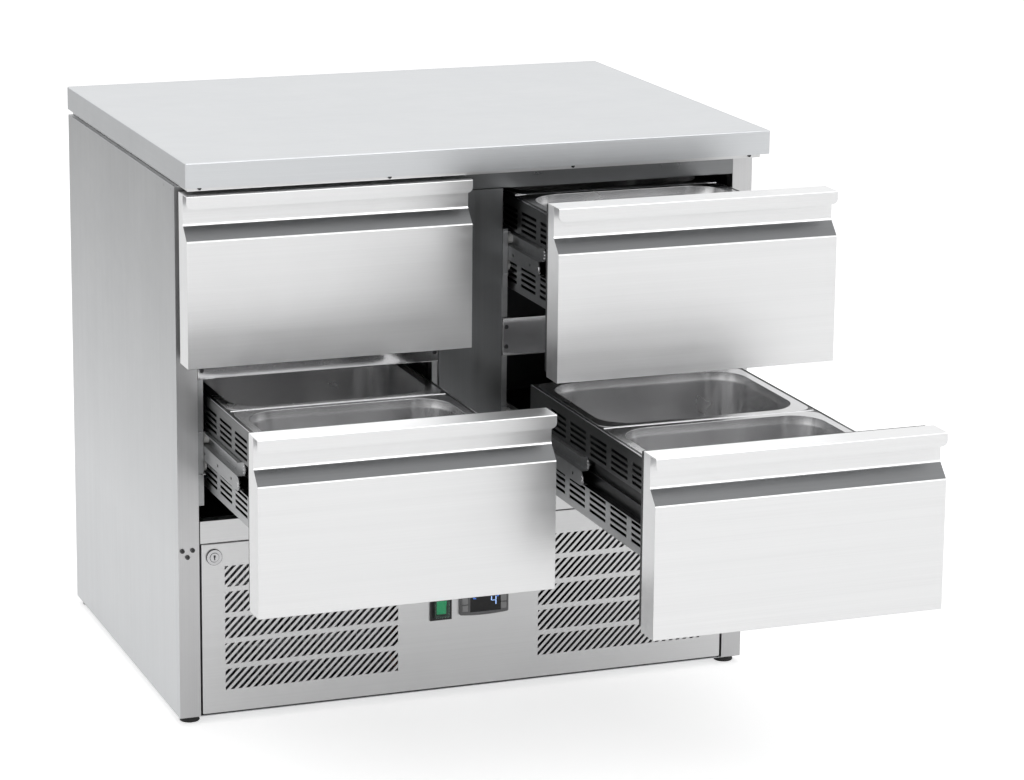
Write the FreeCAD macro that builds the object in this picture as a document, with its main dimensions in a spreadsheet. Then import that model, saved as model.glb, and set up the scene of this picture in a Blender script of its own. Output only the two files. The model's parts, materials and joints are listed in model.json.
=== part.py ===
import FreeCAD, Part
import math
import os
import types

import Sketcher

# Refrigerated counter: four drawers for food pans over a front-breathing machine room.
# Lengths are in millimetres. X is right, Y is back, Z is up.
# The origin is on the floor under the middle of the worktop.

SIZES = {
    # whole counter
    "body_width": 900.0,
    "body_depth": 700.0,
    "body_height": 850.0,
    "sheet": 1.2,
    "running_gap": 0.3,
    "cut_overrun": 1.0,
    # worktop and the tray under it
    "worktop_thickness": 36.0,
    "worktop_lip": 25.0,
    "strip_height": 8.0,
    "strip_side_inset": 7.0,
    "strip_front_inset": 18.5,
    # casing
    "post_setback": 62.0,
    "post_width": 32.0,
    "return_depth": 20.0,
    "rear_setback": 5.0,
    "rear_flange": 20.0,
    "top_flange": 14.0,
    "back_wall": 45.0,
    "base_rail_height": 34.0,
    "top_rail_height": 32.0,
    "mullion_width": 100.0,
    "mullion_depth": 60.0,
    "mullion_lip": 20.0,
    "tray_edge": 18.0,
    # feet
    "foot_height": 10.0,
    "foot_radius": 15.0,
    "foot_chamfer": 1.5,
    "foot_side_inset": 20.0,
    "foot_end_inset": 20.0,
    # crossbars between the upper and lower drawers
    "crossbar_drop": 32.0,
    "crossbar_height": 58.0,
    "crossbar_depth": 4.0,
    # screws
    "screw_radius": 3.4,
    "screw_head": 2.0,
    "screw_shank_radius": 1.8,
    "crossbar_screw_inset": 6.5,
    "crossbar_screw_spacing": 30.0,
    "post_screw_inset": 14.0,
    "post_screw_top_gap": 8.0,
    "strip_screw_margin": 25.5,
    "post_screw_spacing": 15.5,
    "post_screw_drop": 10.0,
    "strip_screw_radius": 2.6,
    # drawer fronts
    "front_setback": 2.0,
    "front_thickness": 42.0,
    "front_chamfer": 21.0,
    "front_side_gap": 2.0,
    "front_centre_gap": 40.0,
    "front_base_gap": 12.0,
    "front_top_gap": 4.0,
    "front_row_gap": 16.0,
    "lip_room": 45.0,
    "lip_depth": 20.0,
    "lip_drop": 19.0,
    "lip_corner": 8.0,
    "top_left_opening": 0.0,
    "bottom_left_opening": 344.0,
    "top_right_opening": 241.0,
    # gaskets
    "gasket_inset": 4.0,
    "gasket_width": 14.0,
    "gasket_foot": 6.0,
    "gasket_neck": 4.0,
    "gasket_neck_inset": 3.0,
    # baskets
    "basket_side_gap": 16.0,
    "basket_rear_gap": 4.0,
    "travel_beyond": 60.0,
    "basket_sheet": 1.0,
    "basket_flange": 14.0,
    "channel_depth": 10.6,
    "slot_length": 60.0,
    "slot_group_spacing": 77.3,
    "slot_front_margin": 11.0,
    "divider_width": 14.0,
    "divider_height": 8.0,
    # food pans
    "pan_side_gap": 5.5,
    "pan_end_gap": 2.0,
    "pan_rim": 12.0,
    "pan_sheet": 1.0,
    "pan_corner": 48.0,
    "pan_rim_corner": 20.0,
    "pan_base_radius": 16.0,
    "pan_spacing": 6.0,
    # drawer runners
    "runner_gap": 0.6,
    "runner_drop": 1.0,
    "slide_offset": 9.6,
    "slide_depth": 10.8,
    "slide_setback": 65.0,
    "roller_end_inset": 12.0,
    "axle_radius": 3.0,
    "upright_front_gap": 4.0,
    "upright_width": 40.0,
    "upright_inset": 45.0,
    "upright_flange": 9.0,
    "rail_rear_gap": 12.0,
    # machine panel
    "panel_side_gap": 3.0,
    "panel_base": 12.5,
    "panel_top_gap": 2.0,
    "panel_depth": 20.0,
    "pivot_inset": 6.0,
    "pin_radius": 3.0,
    "pin_length": 10.0,
    "vent_side_margin": 38.0,
    "vent_drop": 37.0,
    "vent_margin": 84.0,
    "vent_row_gap": 7.5,
    "vent_inner": 112.0,
    "vent_slot_width": 4.2,
    "vent_slot_spacing": 11.6,
    # lock
    "lock_inset": 22.0,
    "lock_drop": 21.4,
    "lock_flange_radius": 12.0,
    "lock_flange": 3.0,
    "lock_barrel_radius": 9.0,
    "lock_barrel": 21.0,
    "lock_nut": 4.0,
    "lock_core_radius": 6.5,
    "lock_core_proud": 0.5,
    "keyhole_width": 1.6,
    "keyhole_height": 7.0,
    "keyhole_depth": 5.0,
    "cam_gap": 1.2,
    "cam_thickness": 2.0,
    "cam_width": 12.0,
    "cam_length": 32.0,
    # switch
    "switch_side": 45.0,
    "switch_base": 120.0,
    "switch_width": 34.0,
    "switch_height": 42.0,
    "switch_plate": 3.0,
    "switch_wall_proud": 3.0,
    "switch_wall_width": 26.0,
    "switch_wall_height": 34.0,
    "switch_body_depth": 24.0,
    "rocker_width": 15.8,
    "rocker_height": 22.0,
    "rocker_proud": 6.0,
    "rocker_body": 5.0,
    "rocker_dip": 1.2,
    "rocker_side_gap": 0.5,
    "rocker_end_gap": 1.4,
    "rocker_pivot_depth": 1.0,
    "rocker_pin_radius": 1.0,
    # controller
    "controller_left": 15.7,
    "controller_base": 122.4,
    "controller_width": 78.0,
    "controller_height": 36.0,
    "controller_proud": 5.0,
    "controller_body_width": 70.0,
    "controller_body_height": 28.0,
    "controller_body_depth": 50.0,
    "window_left": 16.4,
    "window_width": 49.0,
    "window_height": 25.0,
    "window_depth": 1.2,
    "button_width": 9.0,
    "button_height": 9.6,
    "button_side_inset": 3.6,
    "button_spacing": 11.4,
    "button_gap": 0.3,
    "button_proud": 0.5,
    "button_travel": 1.0,
    # refrigeration unit in the machine room
    "unit_inset": 168.0,
    "compressor_back": 80.0,
    "compressor_radius": 78.0,
    "compressor_height": 160.0,
    "compressor_round": 45.0,
    "mount_height": 12.0,
    "mount_radius": 11.0,
    "plate_width": 190.0,
    "plate_depth": 120.0,
    "plate_thickness": 3.0,
    "terminal_width": 60.0,
    "terminal_depth": 20.0,
    "terminal_height": 70.0,
    "terminal_base": 70.0,
    "condenser_front": 48.0,
    "condenser_width": 280.0,
    "condenser_depth": 50.0,
    "condenser_height": 200.0,
    "fin_thickness": 0.8,
    "tube_radius": 4.0,
    "tube_edge": 25.0,
    "cowl_depth": 30.0,
    "cowl_hole_radius": 92.0,
    "bracket_reach": 98.0,
    "bracket_width": 12.0,
    "bracket_thickness": 4.0,
    "bracket_depth": 50.0,
    "motor_radius": 32.0,
    "motor_length": 48.0,
    "fan_radius": 86.0,
    "fan_hub_radius": 28.0,
    "fan_depth": 25.0,
    "fan_gap": 10.0,
    "shaft_radius": 4.0,
    "shaft_clearance": 1.0,
    "blade_width": 42.0,
    "blade_thickness": 1.6,
    "electrical_gap": 100.0,
    "electrical_front": 100.0,
    "electrical_width": 100.0,
    "electrical_depth": 90.0,
    "electrical_height": 110.0,
    "electrical_lid": 4.0,
    "tray_shift": 10.0,
    "tray_back": 150.0,
    "tray_width": 180.0,
    "tray_depth": 180.0,
    "tray_height": 30.0,
    "drain_radius": 8.0,
    "drain_wall": 1.5,
    "drain_end": 20.0,
    "suction_inset": 15.0,
    "suction_rise": 84.0,
    "suction_back": 272.0,
    "suction_height": 120.0,
    "liquid_inset": 58.0,
    "liquid_back": 280.0,
    "liquid_height": 30.0,
    "pipe_lane": 25.0,
    "discharge_height": 85.0,
    "pipe_radius": 4.0,
    "pipe_bend": 20.0,
    # evaporator in the right bay
    "cover_edge": 28.0,
    "cover_depth": 62.0,
    "cover_top_gap": 8.0,
    "cover_height": 210.0,
    "coil_edge": 12.0,
    "coil_depth": 30.0,
    "coil_back_gap": 2.0,
    "cover_hole_radius": 52.0,
    "cold_motor_radius": 18.0,
    "cold_motor_length": 13.0,
    "cold_bar_width": 8.0,
    "cold_bar_thickness": 2.0,
    "cold_fan_radius": 48.0,
    "cold_hub_radius": 16.0,
    "cold_fan_depth": 10.0,
    "cold_shaft": 2.0,
    "cold_blade_width": 18.0,
    "cold_blade_thickness": 1.2,
    # back casing and cable gland
    "louvre_width": 180.0,
    "louvre_height": 6.0,
    "louvre_spacing": 20.0,
    "louvre_base": 60.0,
    "louvre_column_spacing": 240.0,
    "back_seam": 1.0,
    "gland_inset": 50.0,
    "gland_height": 60.0,
    "gland_radius": 13.0,
    "gland_proud": 3.5,
    "gland_barrel_radius": 9.5,
    "gland_barrel": 16.0,
    "gland_bore": 5.0,
}

COUNTS = {
    "slots_per_group": 4,
    "slot_groups": 6,
    "vent_rows": 5,
    "condenser_fins": 28,
    "coil_fins": 30,
    "condenser_tubes": 4,
    "fan_blades": 5,
    "cold_blades": 5,
    "louvre_rows": 8,
    "louvre_columns": 3,
}

ANGLES = {
    "pan_taper": 3.0,
    "vent_slant": 45.0,
    "rocker_tilt": 7.0,
    "blade_pitch": 32.0,
}

SHARES = {
    # of the body's height
    "machine_share": 0.322353,
    # of a front's height
    "basket_base_share": 0.272,
    "basket_height_share": 0.56,
    "channel_base_share": 0.448,
    "channel_height_share": 0.176,
    "slot_height_share": 0.018,
    "slot_spacing_share": 0.0348,
    "lower_slot_share": 0.046,
    "upper_slot_share": 0.0232,
    "pan_depth_share": 0.4,
    "upright_share": 0.64,
}

# Sizes that follow from the others, as the sheet works them out
FORMULAS = {
    # across
    "opening_half": "body_width / 2 - post_width",
    "front_width": "(body_width - front_centre_gap) / 2 - front_side_gap",
    "post_screw_side": "body_width / 2 - post_screw_inset",
    "strip_screw_spacing": "(body_width - strip_screw_margin * 2) / 3",
    "pan_width": "opening_half - mullion_width / 2 - (basket_side_gap + pan_side_gap) * 2",
    "vent_outer": "opening_half - vent_side_margin",
    "lock_side": "opening_half - lock_inset",
    "gland_side": "body_width / 2 - gland_inset",
    "compressor_side": "opening_half - unit_inset",
    "condenser_side": "opening_half - unit_inset",
    "electrical_side": "condenser_side - condenser_width / 2 - electrical_gap",
    "tray_side": "condenser_side - tray_shift",
    "suction_side": "opening_half - suction_inset",
    "liquid_side": "opening_half - liquid_inset",
    # from front to back
    "cold_depth": "body_depth - front_setback - front_thickness - rear_setback - back_wall",
    "basket_length": "cold_depth - cover_depth - basket_rear_gap",
    "pan_length": "(basket_length - pan_spacing) / 2 - pan_end_gap",
    "slide_length": "basket_length",
    "drawer_travel": "basket_length + travel_beyond",
    "bottom_right_opening": "drawer_travel",
    # upwards
    "machine_top": "body_height * machine_share",
    "case_height": "body_height - worktop_thickness - strip_height",
    "lower_front_base": "machine_top + front_base_gap",
    "drawer_pitch": "(case_height - front_top_gap - lower_front_base + front_row_gap) / 2",
    "front_height": "drawer_pitch - front_row_gap",
    "front_flat": "front_height - front_chamfer - lip_room",
    "basket_base": "front_height * basket_base_share",
    "basket_height": "front_height * basket_height_share",
    "channel_base": "front_height * channel_base_share",
    "channel_height": "front_height * channel_height_share",
    "slot_height": "front_height * slot_height_share",
    "slot_spacing": "front_height * slot_spacing_share",
    "lower_slot_margin": "front_height * lower_slot_share",
    "upper_slot_margin": "front_height * upper_slot_share",
    "pan_depth": "front_height * pan_depth_share",
    "runner_base": "channel_base + runner_drop",
    "runner_level": "channel_height / 2 - runner_drop",
    "crossbar_base": "lower_front_base + drawer_pitch - crossbar_drop",
    "upright_base": "lower_front_base + upright_inset",
    "upright_top": "lower_front_base + drawer_pitch + front_height * upright_share",
    "vent_top": "machine_top - vent_drop",
    "vent_row_height": "(machine_top - vent_margin - vent_row_gap * (vent_rows - 1)) / vent_rows",
    "vent_row_spacing": "vent_row_height + vent_row_gap",
    "lock_height": "machine_top - lock_drop",
    "post_screw_height": "machine_top - post_screw_top_gap",
    "cover_base": "case_height - top_rail_height - cover_top_gap - cover_height",
    "suction_top": "cover_base + suction_rise",
}

OUTPUT = "parts"

doc = FreeCAD.newDocument("refrigerated_counter")
sheet = doc.addObject("Spreadsheet::Sheet", "size")


class Length:
    """A value together with the sheet expression that it comes from."""

    def __init__(self, text, value):
        self.text = text
        self.value = value

    def __add__(self, other):
        other = length(other)
        return Length(f"({self.text} + {other.text})", self.value + other.value)

    def __sub__(self, other):
        other = length(other)
        return Length(f"({self.text} - {other.text})", self.value - other.value)

    def __mul__(self, factor):
        factor = length(factor)
        return Length(f"({self.text} * {factor.text})", self.value * factor.value)

    def __truediv__(self, factor):
        factor = length(factor)
        return Length(f"({self.text} / {factor.text})", self.value / factor.value)

    def __neg__(self):
        return Length(f"(-{self.text})", -self.value)

    __rmul__ = __mul__

    def __radd__(self, other):
        return self + other


def length(number):
    return number if isinstance(number, Length) else Length(repr(float(number)), float(number))


def fill_sheet():
    """Writes every named value and formula to the sheet and returns them by name."""
    cells = {**SIZES, **COUNTS, **ANGLES, **SHARES}
    cells.update((alias, "=" + formula) for alias, formula in FORMULAS.items())
    for row, (alias, cell) in enumerate(cells.items(), 1):
        sheet.set(f"A{row}", alias)
        sheet.set(f"B{row}", str(cell))
        sheet.setAlias(f"B{row}", alias)
    doc.recompute()
    named = {alias: Length(f"size.{alias}", float(sheet.get(alias))) for alias in cells}
    return types.SimpleNamespace(**named)


s = fill_sheet()
ZERO = length(0)
X_AXIS = FreeCAD.Vector(1, 0, 0)
Y_AXIS = FreeCAD.Vector(0, 1, 0)
Z_AXIS = FreeCAD.Vector(0, 0, 1)
QUARTER_TURN = 90.0
FULL_TURN = 360.0
SAME_PLACE_share = 1e-6


# Helpers that bind FreeCAD objects to the sheet

def bind(item, prop, size):
    size = length(size)
    item.setExpression(prop, size.text)


def place(item, x=0, y=0, z=0, rotation=None):
    if rotation is not None:
        item.Placement = FreeCAD.Placement(FreeCAD.Vector(), rotation)
    for axis, size in (("x", x), ("y", y), ("z", z)):
        if isinstance(size, Length):
            bind(item, f"Placement.Base.{axis}", size)
    return item


def box(name, low, high):
    """A block from its lowest corner to its highest corner."""
    item = doc.addObject("Part::Box", name)
    low = [length(size) for size in low]
    high = [length(size) for size in high]
    for prop, start, end in zip(("Length", "Width", "Height"), low, high):
        bind(item, prop, end - start)
    return place(item, *low)


def cylinder(name, base, radius, height, axis="z"):
    """A cylinder from the centre of its base, along +X, +Y or +Z."""
    item = doc.addObject("Part::Cylinder", name)
    bind(item, "Radius", radius)
    bind(item, "Height", height)
    turns = {
        "x": FreeCAD.Rotation(Y_AXIS, QUARTER_TURN),
        "y": FreeCAD.Rotation(X_AXIS, -QUARTER_TURN),
        "z": None,
    }
    return place(item, *[length(size) for size in base], rotation=turns[axis])


def fuse(name, *shapes):
    item = doc.addObject("Part::MultiFuse", name)
    item.Shapes = list(shapes)
    return item


def group(name, *shapes):
    """Keeps its pieces as separate solids."""
    item = doc.addObject("Part::Compound", name)
    item.Links = list(shapes)
    return item


def cut(name, base, *tools):
    item = doc.addObject("Part::Cut", name)
    item.Base = base
    item.Tool = tools[0] if len(tools) == 1 else group(name + "_tools", *tools)
    return item


def mirror(name, source, normal=X_AXIS, x=0, y=0):
    """A mirror image in the plane through (x, y) with that normal."""
    item = doc.addObject("Part::Mirroring", name)
    item.Source = source
    item.Normal = normal
    for axis, size in (("x", x), ("y", y)):
        if isinstance(size, Length):
            bind(item, f"Base.{axis}", size)
    return item


def tray(name, low, high, wall, open_low=(0, 0, 0), open_high=(0, 0, 0)):
    """A sheet box that is open on the sides marked with a 1."""
    inner_low = []
    inner_high = []
    for axis in range(3):
        start = length(low[axis])
        end = length(high[axis])
        inner_low.append(start - s.cut_overrun if open_low[axis] else start + wall)
        inner_high.append(end + s.cut_overrun if open_high[axis] else end - wall)
    return cut(name, box(name + "_outer", low, high), box(name + "_inner", inner_low, inner_high))


def frame_ring(name, low, high, band):
    """A rectangular ring that lies in the XZ plane."""
    inner_low = (low[0] + band, low[1] - s.cut_overrun, low[2] + band)
    inner_high = (high[0] - band, high[1] + s.cut_overrun, high[2] - band)
    return cut(name, box(name + "_outer", low, high), box(name + "_inner", inner_low, inner_high))


def origin_plane(body, role):
    return next(item for item in body.Origin.OriginFeatures if item.Role == role)


def sketch_loops(body, name, role, loops, offset=None):
    """A sketch of closed polygons whose corners are bound to the sheet."""
    sketch = body.newObject("Sketcher::SketchObject", name)
    sketch.AttachmentSupport = [(origin_plane(body, role), "")]
    sketch.MapMode = "FlatFace"
    if offset is not None:
        bind(sketch, "AttachmentOffset.Base.z", offset)
    for points in loops:
        points = [(length(u), length(v)) for u, v in points]
        first = sketch.GeometryCount
        count = len(points)
        for index, (u, v) in enumerate(points):
            next_u, next_v = points[(index + 1) % count]
            start = FreeCAD.Vector(u.value, v.value, 0)
            end = FreeCAD.Vector(next_u.value, next_v.value, 0)
            sketch.addGeometry(Part.LineSegment(start, end))
        for index in range(count):
            following = first + (index + 1) % count
            sketch.addConstraint(Sketcher.Constraint("Coincident", first + index, 2, following, 1))
        for index, (u, v) in enumerate(points):
            for kind, size, axis_line in (("DistanceX", u, -2), ("DistanceY", v, -1)):
                if size.value == 0:
                    on_axis = Sketcher.Constraint("PointOnObject", first + index, 1, axis_line)
                    sketch.addConstraint(on_axis)
                    continue
                distance = Sketcher.Constraint(kind, -1, 1, first + index, 1, size.value)
                number = sketch.addConstraint(distance)
                bind(sketch, f"Constraints[{number}]", size)
    return sketch


def pad(body, name, sketch, depth, symmetric=False, reverse=False):
    feature = body.newObject("PartDesign::Pad", name)
    feature.Profile = sketch
    bind(feature, "Length", depth)
    feature.SideType = "Symmetric" if symmetric else "One side"
    feature.Reversed = reverse
    body.Tip = feature
    return feature


def sheet_offsets(points, side):
    """Corner offsets, per unit of thickness, to one side of a path."""
    values = [(u.value, v.value) for u, v in points]
    normals = []
    for (u, v), (next_u, next_v) in zip(values, values[1:]):
        run = math.hypot(next_u - u, next_v - v)
        normals.append((-(next_v - v) / run * side, (next_u - u) / run * side))
    offsets = [normals[0]]
    for before, after in zip(normals, normals[1:]):
        scale = 1 + before[0] * after[0] + before[1] * after[1]
        offsets.append(((before[0] + after[0]) / scale, (before[1] + after[1]) / scale))
    offsets.append(normals[-1])
    return offsets


def sheet_outline(points, thickness, side):
    """The closed outline of a bent sheet: side 1 is left of the path, -1 is right."""
    points = [(length(u), length(v)) for u, v in points]
    inner = []
    for (u, v), (offset_u, offset_v) in zip(points, sheet_offsets(points, side)):
        inner.append((u + thickness * offset_u, v + thickness * offset_v))
    return points + inner[::-1]


def bent_sheet(name, role, points, thickness, side, depth, offset, reverse=False):
    """A sheet bent along a path in an origin plane and as long as depth."""
    body = doc.addObject("PartDesign::Body", name)
    outline = sheet_outline(points, thickness, side)
    sketch = sketch_loops(body, name + "_profile", role, [outline], offset)
    pad(body, name + "_pad", sketch, depth, reverse=reverse)
    return body


def find_edges(shape, test, along=None):
    """The names of the edges whose two ends pass a test and that follow an axis."""
    names = []
    for number, edge in enumerate(shape.Edges, 1):
        ends = [vertex.Point for vertex in edge.Vertexes]
        if len(ends) != 2 or not test(ends[0]) or not test(ends[1]):
            continue
        run = ends[1] - ends[0]
        if along is None or abs(run.dot(along)) > run.Length / 2:
            names.append(f"Edge{number}")
    return names


def fillet(body, name, test, radius, along=None):
    """Rounds the edges of the body's tip that find_edges picks."""
    doc.recompute()
    base = body.Tip
    feature = body.newObject("PartDesign::Fillet", name)
    feature.Base = (base, find_edges(base.Shape, test, along))
    bind(feature, "Radius", radius)
    body.Tip = feature
    return feature


def near(value, size):
    return abs(value - length(size).value) < SAME_PLACE_share * SIZES["body_width"]


# Planes and places that several pieces share

half_width = s.body_width / 2
worktop_front = -s.body_depth / 2
worktop_back = s.body_depth / 2
worktop_base = s.body_height - s.worktop_thickness
case_top = worktop_base - s.strip_height
post_plane = worktop_front + s.post_setback
rear_plane = worktop_back - s.rear_setback
opening_side = half_width - s.post_width
mullion_side = s.mullion_width / 2
liner_front = post_plane + s.return_depth
liner_back = rear_plane - s.back_wall
floor_level = s.machine_top + s.base_rail_height
ceiling_level = case_top - s.top_rail_height
bay_width = opening_side - mullion_side
bay_centre = (opening_side + mullion_side) / 2
bay_half = bay_width / 2
drawer_plane = worktop_front + s.front_setback
upper_front_base = s.lower_front_base + s.drawer_pitch
machine_floor = s.foot_height + s.sheet
skin = half_width - s.sheet

nodes = []


def node(name, item, x=0, y=0, z=0):
    """Labels a finished piece and moves it to its place."""
    item.Label = name
    place(item, x, y, z)
    nodes.append(item)
    return item


# Worktop and the tray under it

def make_worktop(strip_screws):
    top = (half_width, worktop_back, s.body_height)
    shell = tray("worktop_hollow", (-half_width, worktop_front, worktop_base), top, s.sheet)
    mouth = box(
        "worktop_mouth",
        (-half_width + s.worktop_lip, worktop_front + s.worktop_lip, worktop_base - s.cut_overrun),
        (half_width - s.worktop_lip, worktop_back - s.worktop_lip, worktop_base + s.sheet),
    )
    node("worktop_shell", cut("worktop_shell", shell, mouth))
    core = box(
        "worktop_core",
        (-skin, worktop_front + s.sheet, worktop_base + s.sheet),
        (skin, worktop_back - s.sheet, s.body_height - s.sheet),
    )
    node("worktop_core", core)
    strip_side = half_width - s.strip_side_inset
    strip = tray(
        "strip_tray",
        (-strip_side, worktop_front + s.strip_front_inset, case_top),
        (strip_side, rear_plane, worktop_base),
        s.sheet,
        open_high=(0, 0, 1),
    )
    node("top_tray", cut("top_tray", strip, strip_screws))


# Casing: bent sheet round foamed walls

def make_side_casings(post_screws):
    path = [
        (-half_width + s.rear_flange, rear_plane),
        (-half_width, rear_plane),
        (-half_width, post_plane),
        (-opening_side, post_plane),
        (-opening_side, liner_front),
    ]
    case_height = case_top - s.foot_height
    left = bent_sheet("side_sheet", "XY_Plane", path, s.sheet, 1, case_height, s.foot_height)
    flange_base = case_top - s.sheet
    along_side = box(
        "side_flange",
        (-half_width, post_plane, flange_base),
        (-half_width + s.top_flange, rear_plane, case_top),
    )
    over_post = box(
        "post_cap", (-half_width, post_plane, flange_base), (-opening_side, liner_front, case_top),
    )
    left = fuse("side_with_flange", left, along_side, over_post)
    right = mirror("side_sheet_mirrored", left)
    node("left_side_casing", cut("left_side_casing", left, post_screws))
    node("right_side_casing", cut("right_side_casing", right, post_screws))


def make_back_casing():
    panel = box(
        "back_panel",
        (-half_width + s.back_seam, rear_plane, s.foot_height + s.back_seam),
        (half_width - s.back_seam, rear_plane + s.sheet, case_top - s.back_seam),
    )
    slots = []
    for column in range(COUNTS["louvre_columns"]):
        middle = s.louvre_column_spacing * (column - (COUNTS["louvre_columns"] - 1) / 2)
        for row in range(COUNTS["louvre_rows"]):
            low = s.louvre_base + s.louvre_spacing * row
            slots.append(box(
                f"louvre_{column}_{row}",
                (middle - s.louvre_width / 2, rear_plane - s.cut_overrun, low),
                (middle + s.louvre_width / 2, rear_plane + s.sheet + s.cut_overrun, low + s.louvre_height),
            ))
    gland_hole = cylinder(
        "gland_hole", (-s.gland_side, rear_plane - s.cut_overrun, s.gland_height),
        s.gland_barrel_radius, s.sheet + s.cut_overrun * 2, "y",
    )
    node("back_casing", cut("back_casing", panel, gland_hole, *slots))


def make_cable_gland():
    outside = rear_plane + s.sheet
    cap = cylinder(
        "gland_cap", (-s.gland_side, outside, s.gland_height),
        s.gland_radius, s.gland_proud - s.sheet, "y",
    )
    barrel = cylinder(
        "gland_barrel", (-s.gland_side, outside - s.gland_barrel, s.gland_height),
        s.gland_barrel_radius, s.gland_barrel, "y",
    )
    bore = cylinder(
        "gland_bore", (-s.gland_side, outside - s.gland_barrel - s.cut_overrun, s.gland_height),
        s.gland_bore, s.gland_barrel + s.gland_proud + s.cut_overrun * 2, "y",
    )
    node("cable_gland", cut("cable_gland", fuse("gland_blank", cap, barrel), bore))


def panel_pivot():
    return opening_side - s.panel_side_gap - s.pivot_inset, post_plane + s.pivot_inset


def make_base_tray():
    edge = rear_plane - s.sheet
    floor = box("tray_floor", (-skin, liner_front, s.foot_height), (skin, edge, machine_floor))
    tongue = box(
        "tray_tongue", (-opening_side, post_plane, s.foot_height),
        (opening_side, liner_front, machine_floor),
    )
    rim_top = s.foot_height + s.tray_edge
    back = box("tray_back_edge", (-skin, edge - s.sheet, s.foot_height), (skin, edge, rim_top))
    left = box("tray_left_edge", (-skin, liner_front, s.foot_height), (-skin + s.sheet, edge, rim_top))
    right = mirror("tray_right_edge", left)
    pivot_x, pivot_y = panel_pivot()
    pin = cylinder("lower_pin", (pivot_x, pivot_y, s.foot_height), s.pin_radius, s.sheet + s.pin_length)
    node("base_tray", fuse("base_tray", floor, tongue, back, left, right, pin))


def passages(name, low, high):
    """Cuts for the pipes and the drain between two heights."""
    gap = s.running_gap
    places = (
        ("suction", s.suction_side, s.suction_back, s.pipe_radius + gap),
        ("liquid", s.liquid_side, s.liquid_back, s.pipe_radius + gap),
        ("drain", -s.tray_side, s.tray_back, s.drain_radius + gap),
    )
    return [
        cylinder(f"{name}_{place_name}_hole", (x, y, low - s.cut_overrun), radius,
                 high - low + s.cut_overrun * 2)
        for place_name, x, y, radius in places
    ]


def make_liner():
    liner = tray(
        "liner_shell",
        (-opening_side - s.sheet, liner_front, floor_level - s.sheet),
        (opening_side + s.sheet, liner_back + s.sheet, ceiling_level + s.sheet),
        s.sheet,
        open_low=(0, 1, 0),
    )
    holes = passages("liner", floor_level - s.sheet, floor_level)
    node("inner_liner", cut("inner_liner", liner, *holes))


def make_insulation():
    low = s.machine_top + s.sheet
    high = case_top - s.sheet
    back = rear_plane - s.sheet
    blank = box("foam_blank", (-skin, post_plane + s.sheet, low), (skin, back, high))
    hollow = box(
        "foam_hollow",
        (-opening_side - s.sheet, post_plane, floor_level - s.sheet),
        (opening_side + s.sheet, liner_back + s.sheet, ceiling_level + s.sheet),
    )
    left_slot = box(
        "foam_left_slot", (-opening_side - s.sheet, post_plane, s.machine_top),
        (-opening_side, liner_front, worktop_base),
    )
    slots = (left_slot, mirror("foam_right_slot", left_slot))
    holes = passages("foam", low, floor_level)
    node("insulation", cut("insulation", blank, hollow, *slots, *holes))


def make_rails():
    top_path = [
        (post_plane, case_top),
        (post_plane, ceiling_level),
        (liner_front, ceiling_level),
    ]
    span = opening_side * 2
    top_rail = bent_sheet("top_rail", "YZ_Plane", top_path, s.sheet, 1, span, -opening_side)
    node("top_rail", top_rail)
    base_path = [
        (liner_front, floor_level),
        (post_plane, floor_level),
        (post_plane, s.machine_top),
        (liner_front, s.machine_top),
    ]
    base = bent_sheet("base_rail_front", "YZ_Plane", base_path, s.sheet, 1, span, -opening_side)
    room_top = box(
        "room_top",
        (-skin, liner_front, s.machine_top),
        (skin, rear_plane - s.sheet, s.machine_top + s.sheet),
    )
    drilled = cut("room_top_drilled", room_top, *passages("room_top", s.machine_top, floor_level))
    pivot_x, pivot_y = panel_pivot()
    pin = cylinder("upper_pin", (pivot_x, pivot_y, s.machine_top - s.pin_length), s.pin_radius, s.pin_length)
    node("base_rail", fuse("base_rail", base, drilled, pin))


def make_mullion():
    back = post_plane + s.mullion_depth
    path = [
        (-mullion_side + s.mullion_lip, back),
        (-mullion_side, back),
        (-mullion_side, post_plane),
        (mullion_side, post_plane),
        (mullion_side, back),
        (mullion_side - s.mullion_lip, back),
    ]
    height = ceiling_level - floor_level
    node("mullion", bent_sheet("mullion", "XY_Plane", path, s.sheet, 1, height, floor_level))


def make_crossbars(crossbar_screws):
    right = tray(
        "right_crossbar",
        (mullion_side + s.running_gap, post_plane, s.crossbar_base),
        (opening_side - s.running_gap, post_plane + s.crossbar_depth, s.crossbar_base + s.crossbar_height),
        s.sheet,
        open_high=(0, 1, 0),
    )
    left = mirror("left_crossbar", right)
    pair = group("crossbar_pair", left, right)
    node("crossbars", cut("crossbars", pair, crossbar_screws))


def make_feet():
    tip = doc.addObject("Part::Cone", "foot_tip")
    bind(tip, "Radius1", s.foot_radius - s.foot_chamfer)
    bind(tip, "Radius2", s.foot_radius)
    bind(tip, "Height", s.foot_chamfer)
    straight = s.foot_height - s.foot_chamfer
    foot = fuse("foot", tip, cylinder("foot_pad", (ZERO, ZERO, s.foot_chamfer), s.foot_radius, straight))
    side = half_width - s.foot_side_inset
    front = post_plane + s.foot_end_inset
    back = rear_plane - s.foot_end_inset
    feet = []
    for number, (x, y) in enumerate(((-side, front), (side, front), (-side, back), (side, back)), 1):
        feet.append(place(group(f"foot_{number}", foot), x, y))
    node("feet", group("feet", *feet))


# Screws, all along Y with the head in front; each sheet is cut by its own screws

def pan_screw(name, x, plane, z, radius):
    head = cylinder(name + "_head", (x, plane - s.screw_head, z), radius, s.screw_head, "y")
    shank = cylinder(name + "_shank", (x, plane, z), s.screw_shank_radius, s.sheet, "y")
    return fuse(name, head, shank)


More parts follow.
